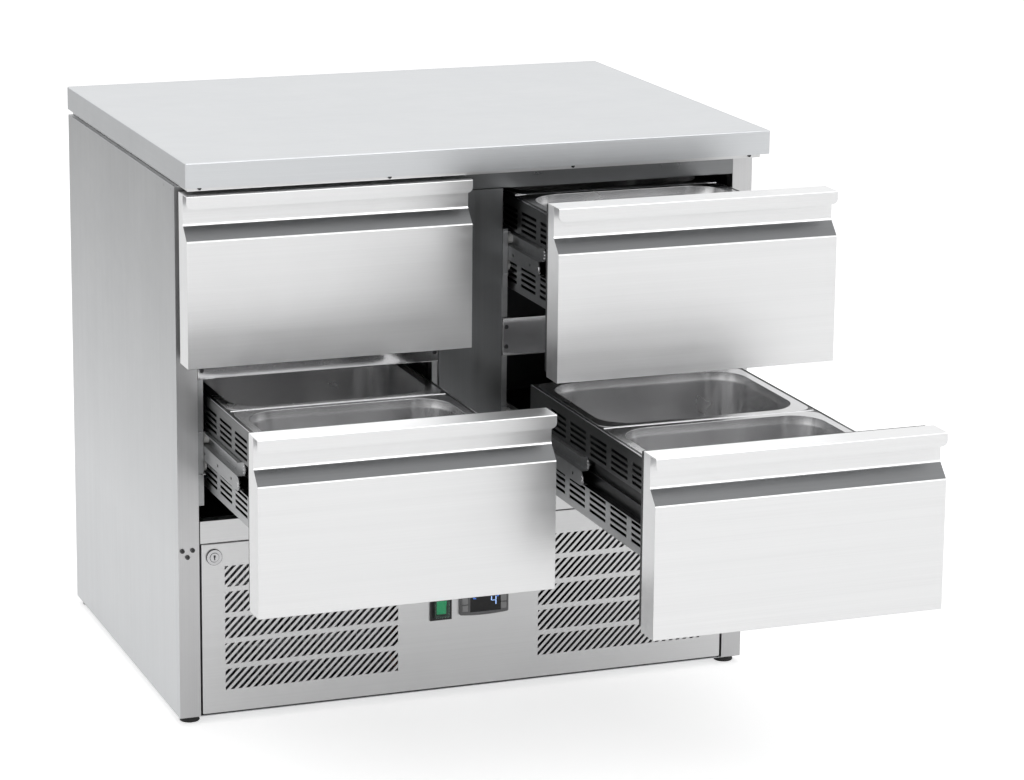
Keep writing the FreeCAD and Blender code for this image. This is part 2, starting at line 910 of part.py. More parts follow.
def flush_screw(name, x, plane, z):
    head = doc.addObject("Part::Cone", name)
    bind(head, "Radius1", s.screw_radius)
    bind(head, "Radius2", s.screw_shank_radius)
    bind(head, "Height", s.sheet)
    return place(head, x, plane, z, FreeCAD.Rotation(X_AXIS, -QUARTER_TURN))


def screw_group(name, right):
    left = [mirror(item.Name + "_left", item) for item in right]
    return group(name, *right, *left)


def make_crossbar_screws():
    right = []
    middle = s.crossbar_base + s.crossbar_height / 2
    for end, x in enumerate((mullion_side + s.crossbar_screw_inset, opening_side - s.crossbar_screw_inset)):
        for row, sign in enumerate((-1, 1)):
            z = middle + s.crossbar_screw_spacing / 2 * sign
            right.append(flush_screw(f"crossbar_screw_{end}_{row}", x, post_plane, z))
    return screw_group("crossbar_screws", right)


def make_post_screws():
    right = []
    for number, (across, down) in enumerate(((-1, 0), (1, 0), (0, 1))):
        x = s.post_screw_side + s.post_screw_spacing / 2 * across
        z = s.post_screw_height - s.post_screw_drop * down
        right.append(pan_screw(f"post_screw_{number}", x, post_plane, z, s.screw_radius))
    return screw_group("post_screws", right)


def make_strip_screws():
    right = []
    for number in range(2):
        x = s.strip_screw_spacing * number + s.strip_screw_spacing / 2
        z = worktop_base - s.strip_height / 2
        plane = worktop_front + s.strip_front_inset
        right.append(pan_screw(f"strip_screw_{number}", x, plane, z, s.strip_screw_radius))
    return screw_group("strip_screws", right)


# Drawers, modelled about the middle of the bay, the front plane and the bottom of the front

def front_path():
    return [
        (s.front_thickness, ZERO),
        (ZERO, ZERO),
        (ZERO, s.front_flat),
        (s.lip_depth, s.front_flat + s.front_chamfer),
        (s.lip_depth, s.front_height),
        (s.front_thickness, s.front_height),
    ]


def make_front_shell():
    body = doc.addObject("PartDesign::Body", "front_shell_form")
    outline = sketch_loops(body, "front_outline", "YZ_Plane", [front_path()])
    pad(body, "front_block", outline, s.front_width, symmetric=True)
    lip = sheet_outline(
        [
            (ZERO, s.front_height - s.lip_drop),
            (ZERO, s.front_height),
            (s.lip_depth, s.front_height),
        ],
        s.sheet, -1,
    )
    pad(body, "lip_pad", sketch_loops(body, "lip_outline", "YZ_Plane", [lip]), s.front_width, symmetric=True)
    lip_low = s.front_height - s.lip_drop
    outer = s.front_width / 2

    def on_lip_corner(point):
        low_enough = near(point.z, lip_low) and point.y < s.sheet.value * 1.5
        return low_enough and near(abs(point.x), outer)

    fillet(body, "lip_round", on_lip_corner, s.lip_corner, Y_AXIS)
    hollow = sketch_loops(body, "front_hollow_outline", "YZ_Plane", [hollow_loop()])
    pocket = body.newObject("PartDesign::Pocket", "front_hollow")
    pocket.Profile = hollow
    pocket.SideType = "Symmetric"
    bind(pocket, "Length", s.front_width - s.sheet * 2)
    body.Tip = pocket
    return body


def hollow_loop():
    """The room inside the front's sheet, open to the back."""
    inner = []
    path = front_path()
    for (u, v), (offset_u, offset_v) in zip(path, sheet_offsets(path, -1)):
        inner.append((u + s.sheet * offset_u, v + s.sheet * offset_v))
    return inner


def make_front_core():
    body = doc.addObject("PartDesign::Body", "front_core_form")
    outline = sketch_loops(body, "core_outline", "YZ_Plane", [hollow_loop()])
    pad(body, "core_block", outline, s.front_width - s.sheet * 2, symmetric=True)
    return body


def make_gasket():
    side = s.front_width / 2 - s.gasket_inset
    top = s.front_height - s.gasket_inset
    back = s.post_setback - s.front_setback - s.running_gap
    first = s.front_thickness + s.gasket_foot
    second = first + s.gasket_neck
    neck = s.gasket_neck_inset
    foot = frame_ring(
        "gasket_foot", (-side, s.front_thickness, s.gasket_inset), (side, first, top), s.gasket_width,
    )
    middle = frame_ring(
        "gasket_neck", (-side + neck, first, s.gasket_inset + neck), (side - neck, second, top - neck),
        s.gasket_width - neck * 2,
    )
    bulb = frame_ring(
        "gasket_bulb", (-side, second, s.gasket_inset), (side, back, top), s.gasket_width,
    )
    return fuse("gasket_form", foot, middle, bulb)


def basket_half():
    return bay_half - s.basket_side_gap


def make_basket_body():
    """Side walls with a runner channel, end plates and rows of slots."""
    body = doc.addObject("PartDesign::Body", "basket_body")
    half = basket_half()
    low = s.basket_base
    high = low + s.basket_height
    channel_top = s.channel_base + s.channel_height
    inside = -half + s.channel_depth
    wall = sheet_outline(
        [
            (-half + s.basket_flange, high),
            (-half, high),
            (-half, channel_top),
            (inside, channel_top),
            (inside, s.channel_base),
            (-half, s.channel_base),
            (-half, low),
            (-half + s.basket_flange, low),
        ],
        s.basket_sheet, 1,
    )
    front = -s.front_thickness
    wall_sketch = sketch_loops(body, "basket_wall", "XZ_Plane", [wall], front)
    wall_pad = pad(body, "basket_wall_pad", wall_sketch, s.basket_length, reverse=True)
    left = [
        (-half, low), (-half, s.channel_base), (inside, s.channel_base),
        (inside, channel_top), (-half, channel_top), (-half, high),
    ]
    plate = left + [(-u, v) for u, v in reversed(left)]
    ends = ((front, "front"), (front - s.basket_length + s.basket_sheet, "rear"))
    for offset, end in ends:
        plate_sketch = sketch_loops(body, f"basket_{end}_plate", "XZ_Plane", [plate], offset)
        pad(body, f"basket_{end}_pad", plate_sketch, s.basket_sheet, reverse=True)
    right = body.newObject("PartDesign::Mirrored", "basket_right_wall")
    right.Originals = [wall_pad]
    right.MirrorPlane = (origin_plane(body, "YZ_Plane"), [""])
    body.Tip = right
    for offset, end in ((s.front_thickness, "front"),
                        (s.front_thickness + s.basket_length - s.basket_flange, "rear")):
        flange = [
            (-half, offset), (half, offset),
            (half, offset + s.basket_flange), (-half, offset + s.basket_flange),
        ]
        flange_sketch = sketch_loops(body, f"basket_{end}_flange", "XY_Plane", [flange], high)
        pad(body, f"basket_{end}_flange_pad", flange_sketch, s.basket_sheet, reverse=True)
    loops = []
    start = s.front_thickness + s.slot_front_margin
    for tier in (low + s.lower_slot_margin, channel_top + s.upper_slot_margin):
        for row in range(COUNTS["slots_per_group"]):
            base = tier + s.slot_spacing * row
            loops.append([
                (start, base), (start + s.slot_length, base),
                (start + s.slot_length, base + s.slot_height), (start, base + s.slot_height),
            ])
    slots = body.newObject("PartDesign::Pocket", "basket_slots")
    slot_sketch = sketch_loops(body, "slot_group", "YZ_Plane", loops)
    slots.Profile = slot_sketch
    slots.Type = "ThroughAll"
    slots.SideType = "Symmetric"
    body.Tip = slots
    pattern = body.newObject("PartDesign::LinearPattern", "slot_groups")
    pattern.Originals = [slots]
    pattern.Direction = (slot_sketch, ["H_Axis"])
    pattern.Mode = "Spacing"
    bind(pattern, "Offset", s.slot_group_spacing)
    bind(pattern, "Occurrences", s.slot_groups)
    body.Tip = pattern
    return body


def runner_plane(offset):
    """X of a plane that lies this far inside the bay's left edge."""
    return -bay_half + offset


def roller(name, start, end, axle_start, axle_end, y, z, radius):
    """A roller on its axle, both along X; offsets count from the bay's left edge."""
    disc = cylinder(name + "_disc", (runner_plane(start), y, z), radius, end - start, "x")
    axle = cylinder(
        name + "_axle", (runner_plane(axle_start), y, z), s.axle_radius, axle_end - axle_start, "x",
    )
    return fuse(name, disc, axle)


def runner_levels():
    low = s.runner_base
    return low, low + s.runner_level, low + s.runner_level * 2


def channel_face():
    return s.basket_side_gap + s.channel_depth


def frame_web():
    """Where an upright's web ends and where the rail's web on it ends."""
    web_end = s.running_gap + s.sheet
    return web_end, web_end + s.sheet


def make_basket():
    low, middle, high = runner_levels()
    face = channel_face()
    slide_end = s.slide_offset + s.slide_depth
    rail = bent_sheet(
        "basket_rail", "XZ_Plane",
        [
            (runner_plane(slide_end + s.runner_gap), high),
            (runner_plane(face), high),
            (runner_plane(face), middle),
            (runner_plane(slide_end + s.runner_gap), middle),
        ],
        s.sheet, -1, s.basket_length, -s.front_thickness, reverse=True,
    )
    rear = s.front_thickness + s.basket_length
    wheel = roller(
        "basket_roller",
        s.slide_offset + s.sheet + s.running_gap, slide_end - s.running_gap,
        s.slide_offset + s.sheet + s.running_gap, face,
        rear - s.roller_end_inset,
        (low + s.sheet + middle - s.sheet / 2) / 2,
        (s.runner_level - s.sheet * 1.5) / 2 - s.running_gap,
    )
    half = basket_half()
    top = s.basket_base + s.basket_height
    centre = s.front_thickness + s.basket_length / 2
    divider = box(
        "pan_divider",
        (-half + s.basket_sheet, centre - s.divider_width / 2, top - s.basket_sheet - s.divider_height),
        (half - s.basket_sheet, centre + s.divider_width / 2, top - s.basket_sheet),
    )
    return group(
        "basket_form", make_basket_body(), rail, mirror("basket_right_rail", rail),
        wheel, mirror("basket_right_roller", wheel), divider,
    )


def pan_block(name, shrink):
    """A tapered, rounded block that hangs from the rim plane."""
    body = doc.addObject("PartDesign::Body", name)
    half_x = s.pan_width / 2 - s.pan_rim - shrink
    half_y = s.pan_length / 2 - s.pan_rim - shrink
    loop = [(-half_x, -half_y), (half_x, -half_y), (half_x, half_y), (-half_x, half_y)]
    sketch = sketch_loops(body, name + "_outline", "XY_Plane", [loop])
    depth = s.pan_depth - shrink
    block = pad(body, name + "_pad", sketch, depth, reverse=True)
    bind(block, "TaperAngle", -s.pan_taper)
    fillet(body, name + "_corners", lambda point: True, s.pan_corner - shrink, Z_AXIS)
    floor_radius = s.pan_base_radius - shrink
    fillet(body, name + "_floor_round", lambda point: near(point.z, -depth), floor_radius)
    return body


def make_pans():
    """Two half-size pans, one behind the other, with their rims on the basket."""
    rim_body = doc.addObject("PartDesign::Body", "pan_rim_body")
    half_x = s.pan_width / 2
    half_y = s.pan_length / 2
    loop = [(-half_x, -half_y), (half_x, -half_y), (half_x, half_y), (-half_x, half_y)]
    pad(rim_body, "pan_rim_pad", sketch_loops(rim_body, "pan_rim_outline", "XY_Plane", [loop]), s.pan_sheet)
    fillet(rim_body, "pan_rim_round", lambda point: True, s.pan_rim_corner, Z_AXIS)
    outer = fuse("pan_outer", pan_block("pan_skin", ZERO), rim_body)
    cavity = pan_block("pan_cavity", s.pan_sheet)
    mouth = group("pan_mouth", cavity)
    place(mouth, z=s.pan_sheet)
    inner = pan_block("pan_inner", s.pan_sheet)
    pan = cut("pan_form", cut("pan_hollowed", outer, inner), mouth)
    top = s.basket_base + s.basket_height
    centre = s.front_thickness + s.basket_length / 2
    front = group("front_pan", pan)
    place(front, ZERO, centre - (s.pan_spacing + s.pan_length) / 2, top)
    return group("pans_form", front, mirror("rear_pan", front, Y_AXIS, y=centre))


def make_slides():
    """The middle members of a pair of runners, with their rollers."""
    low, middle, high = runner_levels()
    outer = runner_plane(s.slide_offset)
    inner = runner_plane(s.slide_offset + s.slide_depth)
    sheet_half = s.sheet / 2
    section = [
        (inner, low), (outer, low), (outer, middle + sheet_half),
        (inner - s.sheet, middle + sheet_half), (inner - s.sheet, high - s.sheet),
        (outer, high - s.sheet), (outer, high), (inner, high), (inner, middle - sheet_half),
        (outer + s.sheet, middle - sheet_half), (outer + s.sheet, low + s.sheet), (inner, low + s.sheet),
    ]
    body = doc.addObject("PartDesign::Body", "slide_bar")
    sketch = sketch_loops(body, "slide_section", "XZ_Plane", [section], -s.slide_setback)
    pad(body, "slide_pad", sketch, s.slide_length, reverse=True)
    radius = s.runner_level / 2 - s.sheet - s.running_gap
    wheel_start = frame_web()[1] + s.runner_gap
    rear = roller(
        "slide_rear_roller",
        wheel_start, s.slide_offset - s.runner_gap,
        wheel_start, s.slide_offset,
        s.slide_setback + s.slide_length - s.roller_end_inset, (low + middle) / 2, radius,
    )
    slide_end = s.slide_offset + s.slide_depth
    front = roller(
        "slide_front_roller",
        slide_end + s.running_gap, channel_face() - s.sheet - s.running_gap,
        slide_end, channel_face() - s.sheet - s.running_gap,
        s.slide_setback + s.roller_end_inset, (middle + high) / 2, radius,
    )
    left = group("left_slide", body, rear, front)
    return group("slides_form", left, mirror("right_slide", left))


def make_runner_frames():
    """Uprights with the fixed rails, one frame on each side of each bay."""
    web_start = s.running_gap
    web_end, rail_end = frame_web()
    front = post_plane + s.upright_front_gap
    rear = liner_back
    pieces = []

    def block(name, start, end, y_low, y_high, z_low, z_high):
        pieces.append(box(
            name, (runner_plane(start), y_low, z_low), (runner_plane(end), y_high, z_high),
        ))

    for name, y_low, y_high, flange_low, flange_high in (
        ("front", front, front + s.upright_width, front, front + s.sheet),
        ("rear", rear - s.upright_width, rear, rear - s.sheet, rear),
    ):
        block(name + "_web", web_start, web_end, y_low, y_high, s.upright_base, s.upright_top)
        block(name + "_flange", web_start, s.upright_flange, flange_low, flange_high,
              s.upright_base, s.upright_top)
    rail_front = front + s.sheet
    rail_rear = rear - s.rail_rear_gap
    for level, front_base in (("lower", s.lower_front_base), ("upper", upper_front_base)):
        low = front_base + s.runner_base
        middle = low + s.runner_level
        high = middle + s.runner_level
        block(level + "_rail_web", web_end, rail_end, rail_front, rail_rear, low, middle)
        flange = (web_end, s.upright_flange, rail_front, rail_rear)
        block(level + "_rail_foot", *flange, low, low + s.sheet)
        block(level + "_rail_head", *flange, middle - s.sheet, middle)
        pieces.append(roller(
            level + "_frame_roller",
            s.slide_offset + s.sheet, s.slide_offset + s.slide_depth - s.sheet - s.running_gap,
            web_end, s.slide_offset + s.slide_depth - s.sheet - s.running_gap,
            rail_front + s.roller_end_inset,
            (middle + s.sheet / 2 + high - s.sheet) / 2,
            (s.runner_level - s.sheet * 1.5) / 2 - s.running_gap,
        ))
    frame = fuse("runner_frame", *pieces)
    pair = group("frame_pair", frame, mirror("runner_frame_right", frame))
    left = place(group("left_frames", pair), -bay_centre)
    right = place(group("right_frames", pair), bay_centre)
    node("runner_frames", group("runner_frames", left, right))


def make_drawers():
    forms = {
        "front_shell": make_front_shell(),
        "front_core": make_front_core(),
        "gasket": make_gasket(),
        "basket": make_basket(),
        "pans": make_pans(),
    }
    slides = make_slides()
    drawers = (
        ("top_left", -bay_centre, upper_front_base, s.top_left_opening),
        ("bottom_left", -bay_centre, s.lower_front_base, s.bottom_left_opening),
        ("top_right", bay_centre, upper_front_base, s.top_right_opening),
        ("bottom_right", bay_centre, s.lower_front_base, s.bottom_right_opening),
    )
    for name, x, z, opening in drawers:
        for piece, form in forms.items():
            node(f"{name}_{piece}", group(f"{name}_{piece}", form), x, drawer_plane - opening, z)
        node(f"{name}_slides", group(f"{name}_slides", slides), x, drawer_plane - opening / 2, z)


# Machine panel with its lock, switch and controller

def vent_slots(side):
    """Slanted bars cut short by the rows of one block."""
    outer = s.vent_outer * side
    inner = s.vent_inner * side
    left = outer if side < 0 else inner
    width = s.vent_outer - s.vent_inner
    front = post_plane - s.cut_overrun
    back = post_plane + s.sheet + s.cut_overrun
    rise = s.vent_row_spacing * (COUNTS["vent_rows"] - 1) + s.vent_row_height
    base = s.vent_top - rise
    reach = width + rise
    count = int(reach.value // s.vent_slot_spacing.value) + 1
    bars = []
    for number in range(count):
        bar = doc.addObject("Part::Box", f"vent_bar_{'left' if side < 0 else 'right'}_{number}")
        bind(bar, "Length", s.vent_slot_width)
        bind(bar, "Width", back - front)
        bind(bar, "Height", rise * 2)
        start = left - rise + s.vent_slot_spacing * number
        bars.append(place(bar, start, front, base, FreeCAD.Rotation(Y_AXIS, ANGLES["vent_slant"])))
    rows = []
    for row in range(COUNTS["vent_rows"]):
        low = base + s.vent_row_spacing * row
        rows.append(box(
            f"vent_row_{'left' if side < 0 else 'right'}_{row}",
            (left, front, low), (left + width, back, low + s.vent_row_height),
        ))
    block = doc.addObject("Part::MultiCommon", f"vents_{'left' if side < 0 else 'right'}")
    name = block.Name
    block.Shapes = [group(name + "_bars", *bars), group(name + "_rows", *rows)]
    return block


def make_machine_panel():
    side = opening_side - s.panel_side_gap
    top = s.machine_top - s.panel_top_gap
    pan = tray(
        "panel_pan",
        (-side, post_plane, s.panel_base), (side, post_plane + s.panel_depth, top),
        s.sheet,
        open_high=(0, 1, 0),
    )
    through = post_plane - s.cut_overrun
    depth = s.sheet + s.cut_overrun * 2
    lock_hole = cylinder(
        "lock_hole", (-s.lock_side, through, s.lock_height),
        s.lock_barrel_radius + s.running_gap, depth, "y",
    )
    switch_low, switch_high = switch_corners(s.switch_wall_width, s.switch_wall_height)
    switch_hole = box(
        "switch_hole",
        (switch_low[0] - s.running_gap, through, switch_low[1] - s.running_gap),
        (switch_high[0] + s.running_gap, through + depth, switch_high[1] + s.running_gap),
    )
    low, high = controller_body_corners()
    controller_hole = box(
        "controller_hole",
        (low[0] - s.running_gap, through, low[1] - s.running_gap),
        (high[0] + s.running_gap, through + depth, high[1] + s.running_gap),
    )
    pivot_x, pivot_y = panel_pivot()
    pin_hole = cylinder(
        "pin_hole", (pivot_x, pivot_y, s.panel_base - s.cut_overrun),
        s.pin_radius + s.running_gap, top - s.panel_base + s.cut_overrun * 2,
    )
    openings = (lock_hole, switch_hole, controller_hole, pin_hole)
    pierced = cut("panel_pierced", pan, *openings)
    node("machine_panel", cut("machine_panel", pierced, vent_slots(-1), vent_slots(1)))


def make_lock():
    x = -s.lock_side
    z = s.lock_height
    flange = cylinder("lock_flange_disc", (x, post_plane - s.lock_flange, z), s.lock_flange_radius,
                      s.lock_flange, "y")
    barrel = cylinder("lock_barrel_tube", (x, post_plane, z), s.lock_barrel_radius, s.lock_barrel, "y")
    nut = cylinder("lock_nut_ring", (x, post_plane + s.sheet, z), s.lock_flange_radius, s.lock_nut, "y")
    front = post_plane - s.lock_flange - s.cut_overrun
    bore = cylinder("lock_bore", (x, front, z), s.lock_core_radius + s.running_gap,
                    s.lock_flange + s.lock_barrel + s.cut_overrun * 2, "y")
    node("lock_body", cut("lock_body", fuse("lock_blank", flange, barrel, nut), bore))
    core_front = post_plane - s.lock_flange - s.lock_core_proud
    cam_front = post_plane + s.lock_barrel + s.cam_gap
    cam_back = cam_front + s.cam_thickness
    core = cylinder("lock_core", (x, core_front, z), s.lock_core_radius, cam_back - core_front, "y")
    cam = box(
        "lock_cam",
        (x - s.cam_width / 2, cam_front, z - s.cam_length),
        (x + s.cam_width / 2, cam_back, z + s.cam_width / 2),
    )
    keyhole = box(
        "keyhole",
        (x - s.keyhole_width / 2, core_front - s.cut_overrun, z - s.keyhole_height / 2),
        (x + s.keyhole_width / 2, core_front + s.keyhole_depth, z + s.keyhole_height / 2),
    )
    node("lock_cylinder", cut("lock_cylinder", fuse("lock_core_and_cam", core, cam), keyhole))


def switch_corners(width, height):
    """Corners in X and Z of a rectangle about the switch's middle."""
    x = -s.switch_side
    z = s.switch_base + s.switch_height / 2
    return (x - width / 2, z - height / 2), (x + width / 2, z + height / 2)


def make_switch():
    def block(name, width, height, front, back):
        low, high = switch_corners(width, height)
        return box(name, (low[0], front, low[1]), (high[0], back, high[1]))

    plate_front = post_plane - s.switch_plate
    wall_front = plate_front - s.switch_wall_proud
    plate = block("switch_plate", s.switch_width, s.switch_height, plate_front, post_plane)
    wall = block("switch_wall", s.switch_wall_width, s.switch_wall_height, wall_front,
                 post_plane + s.switch_body_depth)
    well_width = s.rocker_width + s.rocker_side_gap * 2
    well_height = s.rocker_height + s.rocker_end_gap * 2
    well_floor = post_plane + s.rocker_pivot_depth + s.rocker_body + s.rocker_end_gap
    well = block("switch_well", well_width, well_height, wall_front - s.cut_overrun, well_floor)
    pin = cylinder(
        "rocker_pin",
        (-s.switch_side - s.rocker_width / 2 - s.rocker_side_gap * 2, post_plane + s.rocker_pivot_depth,
         s.switch_base + s.switch_height / 2),
        s.rocker_pin_radius, s.rocker_width + s.rocker_side_gap * 4, "x",
    )
    bezel = fuse("switch_bezel", cut("switch_welled", fuse("switch_blank", plate, wall), well), pin)
    node("switch_bezel", bezel)
    body = doc.addObject("PartDesign::Body", "rocker_body")
    half = s.rocker_height / 2
    section = [
        (-s.rocker_proud, -half), (-s.rocker_proud + s.rocker_dip, ZERO), (-s.rocker_proud, half),
        (s.rocker_body, half / 2), (s.rocker_body, -half / 2),
    ]
    pad(body, "rocker_pad", sketch_loops(body, "rocker_section", "YZ_Plane", [section]), s.rocker_width,
        symmetric=True)
    bore = cylinder(
        "rocker_bore", (-s.rocker_width, ZERO, ZERO), s.rocker_pin_radius + s.running_gap / 2,
        s.rocker_width * 2, "x",
    )
    rocker = cut("switch_rocker", body, bore)
    rocker.Label = "switch_rocker"
    place(
        rocker, -s.switch_side, post_plane + s.rocker_pivot_depth,
        s.switch_base + s.switch_height / 2, FreeCAD.Rotation(X_AXIS, ANGLES["rocker_tilt"]),
    )
    nodes.append(rocker)


def controller_body_corners():
    middle_x = -s.controller_left + s.controller_width / 2
    middle_z = s.controller_base + s.controller_height / 2
    low = (middle_x - s.controller_body_width / 2, middle_z - s.controller_body_height / 2)
    high = (middle_x + s.controller_body_width / 2, middle_z + s.controller_body_height / 2)
    return low, high


def button_places():
    """Lower left corners, in X and Z, of the four buttons."""
    left = -s.controller_left + s.button_side_inset
    right = -s.controller_left + s.controller_width - s.button_side_inset - s.button_width
    middle = s.controller_base + s.controller_height / 2
    low = middle - s.button_spacing / 2 - s.button_height / 2
    return (
        ("left_lower_button", left, low),
        ("left_upper_button", left, low + s.button_spacing),
        ("right_lower_button", right, low),
        ("right_upper_button", right, low + s.button_spacing),
    )


def make_controller():
    front = post_plane - s.controller_proud
    left = -s.controller_left
    face = box(
        "controller_face",
        (left, front, s.controller_base),
        (left + s.controller_width, post_plane, s.controller_base + s.controller_height),
    )
    low, high = controller_body_corners()
    body = box("controller_body", (low[0], post_plane, low[1]),
               (high[0], post_plane + s.controller_body_depth, high[1]))
    window_base = s.controller_base + (s.controller_height - s.window_height) / 2
    window_low = (left + s.window_left, front, window_base)
    window_high = (left + s.window_left + s.window_width, front + s.window_depth,
                   window_base + s.window_height)
    recess = box("window_recess", (window_low[0], front - s.cut_overrun, window_low[2]), window_high)
    wells = []
    button_back = front - s.button_proud + s.controller_proud - s.button_travel
    for name, x, z in button_places():
        wells.append(box(
            name + "_well",
            (x - s.button_gap, front - s.cut_overrun, z - s.button_gap),
            (x + s.button_width + s.button_gap, post_plane - s.button_gap,
             z + s.button_height + s.button_gap),
        ))
        button = box(
            name, (x, front - s.button_proud, z),
            (x + s.button_width, button_back - s.button_gap, z + s.button_height),
        )
        node(name, button)
    blank = fuse("controller_blank", face, body)
    node("controller_bezel", cut("controller_bezel", blank, recess, *wells))


# Refrigeration unit

def make_compressor():
    x = s.compressor_side
    y = s.compressor_back
    plate_base = machine_floor + s.mount_height
    plate = box(
        "compressor_plate",
        (x - s.plate_width / 2, y - s.plate_depth / 2, plate_base),
        (x + s.plate_width / 2, y + s.plate_depth / 2, plate_base + s.plate_thickness),
    )
    mounts = []
    for across in (-1, 1):
        for along in (-1, 1):
            spot = (
                x + (s.plate_width / 2 - s.mount_radius) * across,
                y + (s.plate_depth / 2 - s.mount_radius) * along,
                machine_floor,
            )
            mounts.append(cylinder(f"mount_{across + 1}_{along + 1}", spot, s.mount_radius, s.mount_height))
    shell = doc.addObject("PartDesign::Body", "compressor_shell")
    profile = shell.newObject("Sketcher::SketchObject", "compressor_profile")
    profile.AttachmentSupport = [(origin_plane(shell, "XZ_Plane"), "")]
    profile.MapMode = "FlatFace"
    compressor_profile(profile)
    spin = shell.newObject("PartDesign::Revolution", "compressor_spin")
    spin.Profile = profile
    spin.ReferenceAxis = (profile, ["V_Axis"])
    spin.Angle = FULL_TURN
    shell.Tip = spin
    seated = group("compressor_seated", shell)
    base = plate_base + s.plate_thickness
    place(seated, x, y, base)
    terminal = box(
        "terminal_cover",
        (x - s.terminal_width / 2, y - s.compressor_radius - s.terminal_depth, base + s.terminal_base),
        (x + s.terminal_width / 2, y, base + s.terminal_base + s.terminal_height),
    )
    terminal_cover = cut("terminal_fitted", terminal, seated)
    node("compressor", group("compressor", plate, *mounts, seated, terminal_cover))


def compressor_profile(sketch):
    """Half of the shell's section: flat ends, a straight side and two round shoulders."""
    radius = s.compressor_radius
    height = s.compressor_height
    bend = s.compressor_round
    corners = [
        (ZERO, ZERO), (radius - bend, ZERO), (radius, bend), (radius, height - bend),
        (radius - bend, height), (ZERO, height),
    ]
    points = [FreeCAD.Vector(u.value, v.value, 0) for u, v in corners]
    low_centre = FreeCAD.Vector(points[1].x, points[2].y, 0)
    high_centre = FreeCAD.Vector(points[4].x, points[3].y, 0)
    quarter = math.pi / 2
    sketch.addGeometry(Part.LineSegment(points[0], points[1]))
    low_circle = Part.Circle(low_centre, Z_AXIS, bend.value)
    sketch.addGeometry(Part.ArcOfCircle(low_circle, -quarter, 0))
    sketch.addGeometry(Part.LineSegment(points[2], points[3]))
    high_circle = Part.Circle(high_centre, Z_AXIS, bend.value)
    sketch.addGeometry(Part.ArcOfCircle(high_circle, 0, quarter))
    sketch.addGeometry(Part.LineSegment(points[4], points[5]))
    sketch.addGeometry(Part.LineSegment(points[5], points[0]))
    for first in range(4):
        sketch.addConstraint(Sketcher.Constraint("Tangent", first, 2, first + 1, 1))
    sketch.addConstraint(Sketcher.Constraint("Coincident", 4, 2, 5, 1))
    sketch.addConstraint(Sketcher.Constraint("Coincident", 5, 2, 0, 1))
    sketch.addConstraint(Sketcher.Constraint("Coincident", 0, 1, -1, 1))
    sketch.addConstraint(Sketcher.Constraint("Horizontal", 0))
    sketch.addConstraint(Sketcher.Constraint("Vertical", 2))
    sketch.addConstraint(Sketcher.Constraint("Horizontal", 4))
    sketch.addConstraint(Sketcher.Constraint("Vertical", 5))
    for kind, ends, size in (
        ("DistanceX", (-1, 1, 2, 1), radius),
        ("DistanceY", (-1, 1, 4, 1), height),
    ):
        number = sketch.addConstraint(Sketcher.Constraint(kind, *ends, size.value))
        bind(sketch, f"Constraints[{number}]", size)
    for arc in (1, 3):
        number = sketch.addConstraint(Sketcher.Constraint("Radius", arc, bend.value))
        bind(sketch, f"Constraints[{number}]", bend)


def fin_pack(name, low, high, count, tubes):
    """Thin fins across a box, joined by tubes along X."""
    pieces = []
    span = high[0] - low[0] - s.fin_thickness
    for number in range(count):
        x = low[0] + span * (number / (count - 1))
        pieces.append(box(f"{name}_fin_{number}", (x, low[1], low[2]),
                          (x + s.fin_thickness, high[1], high[2])))
    rise = high[2] - low[2] - s.tube_edge * 2
    middle = (low[1] + high[1]) / 2
    for number in range(tubes):
        z = low[2] + s.tube_edge + rise * (number / (tubes - 1))
        pieces.append(cylinder(f"{name}_tube_{number}", (low[0], middle, z), s.tube_radius,
                               high[0] - low[0], "x"))
    return fuse(name, *pieces)


def make_fan(name, hub_radius, radius, depth, shaft, blade, blade_thickness, count):
    """A fan about its own Y axis, with its hub from y = 0 and its shaft along the turning axis."""
    pieces = [cylinder(name + "_hub", (ZERO, ZERO, ZERO), hub_radius, depth, "y")]
    for number in range(count):
        fin = doc.addObject("Part::Box", f"{name}_blade_{number}")
        bind(fin, "Length", radius - hub_radius / 2)
        bind(fin, "Width", blade_thickness)
        bind(fin, "Height", blade)
        place(fin, hub_radius / 2, -blade_thickness / 2, -blade / 2)
        pitched = group(f"{name}_pitched_{number}", fin)
        place(pitched, rotation=FreeCAD.Rotation(X_AXIS, ANGLES["blade_pitch"]))
        turned = group(f"{name}_turned_{number}", pitched)
        angle = FULL_TURN * number / count
        place(turned, ZERO, depth / 2, ZERO, rotation=FreeCAD.Rotation(Y_AXIS, angle))
        pieces.append(turned)
    pieces.append(shaft)
    return fuse(name, *pieces)


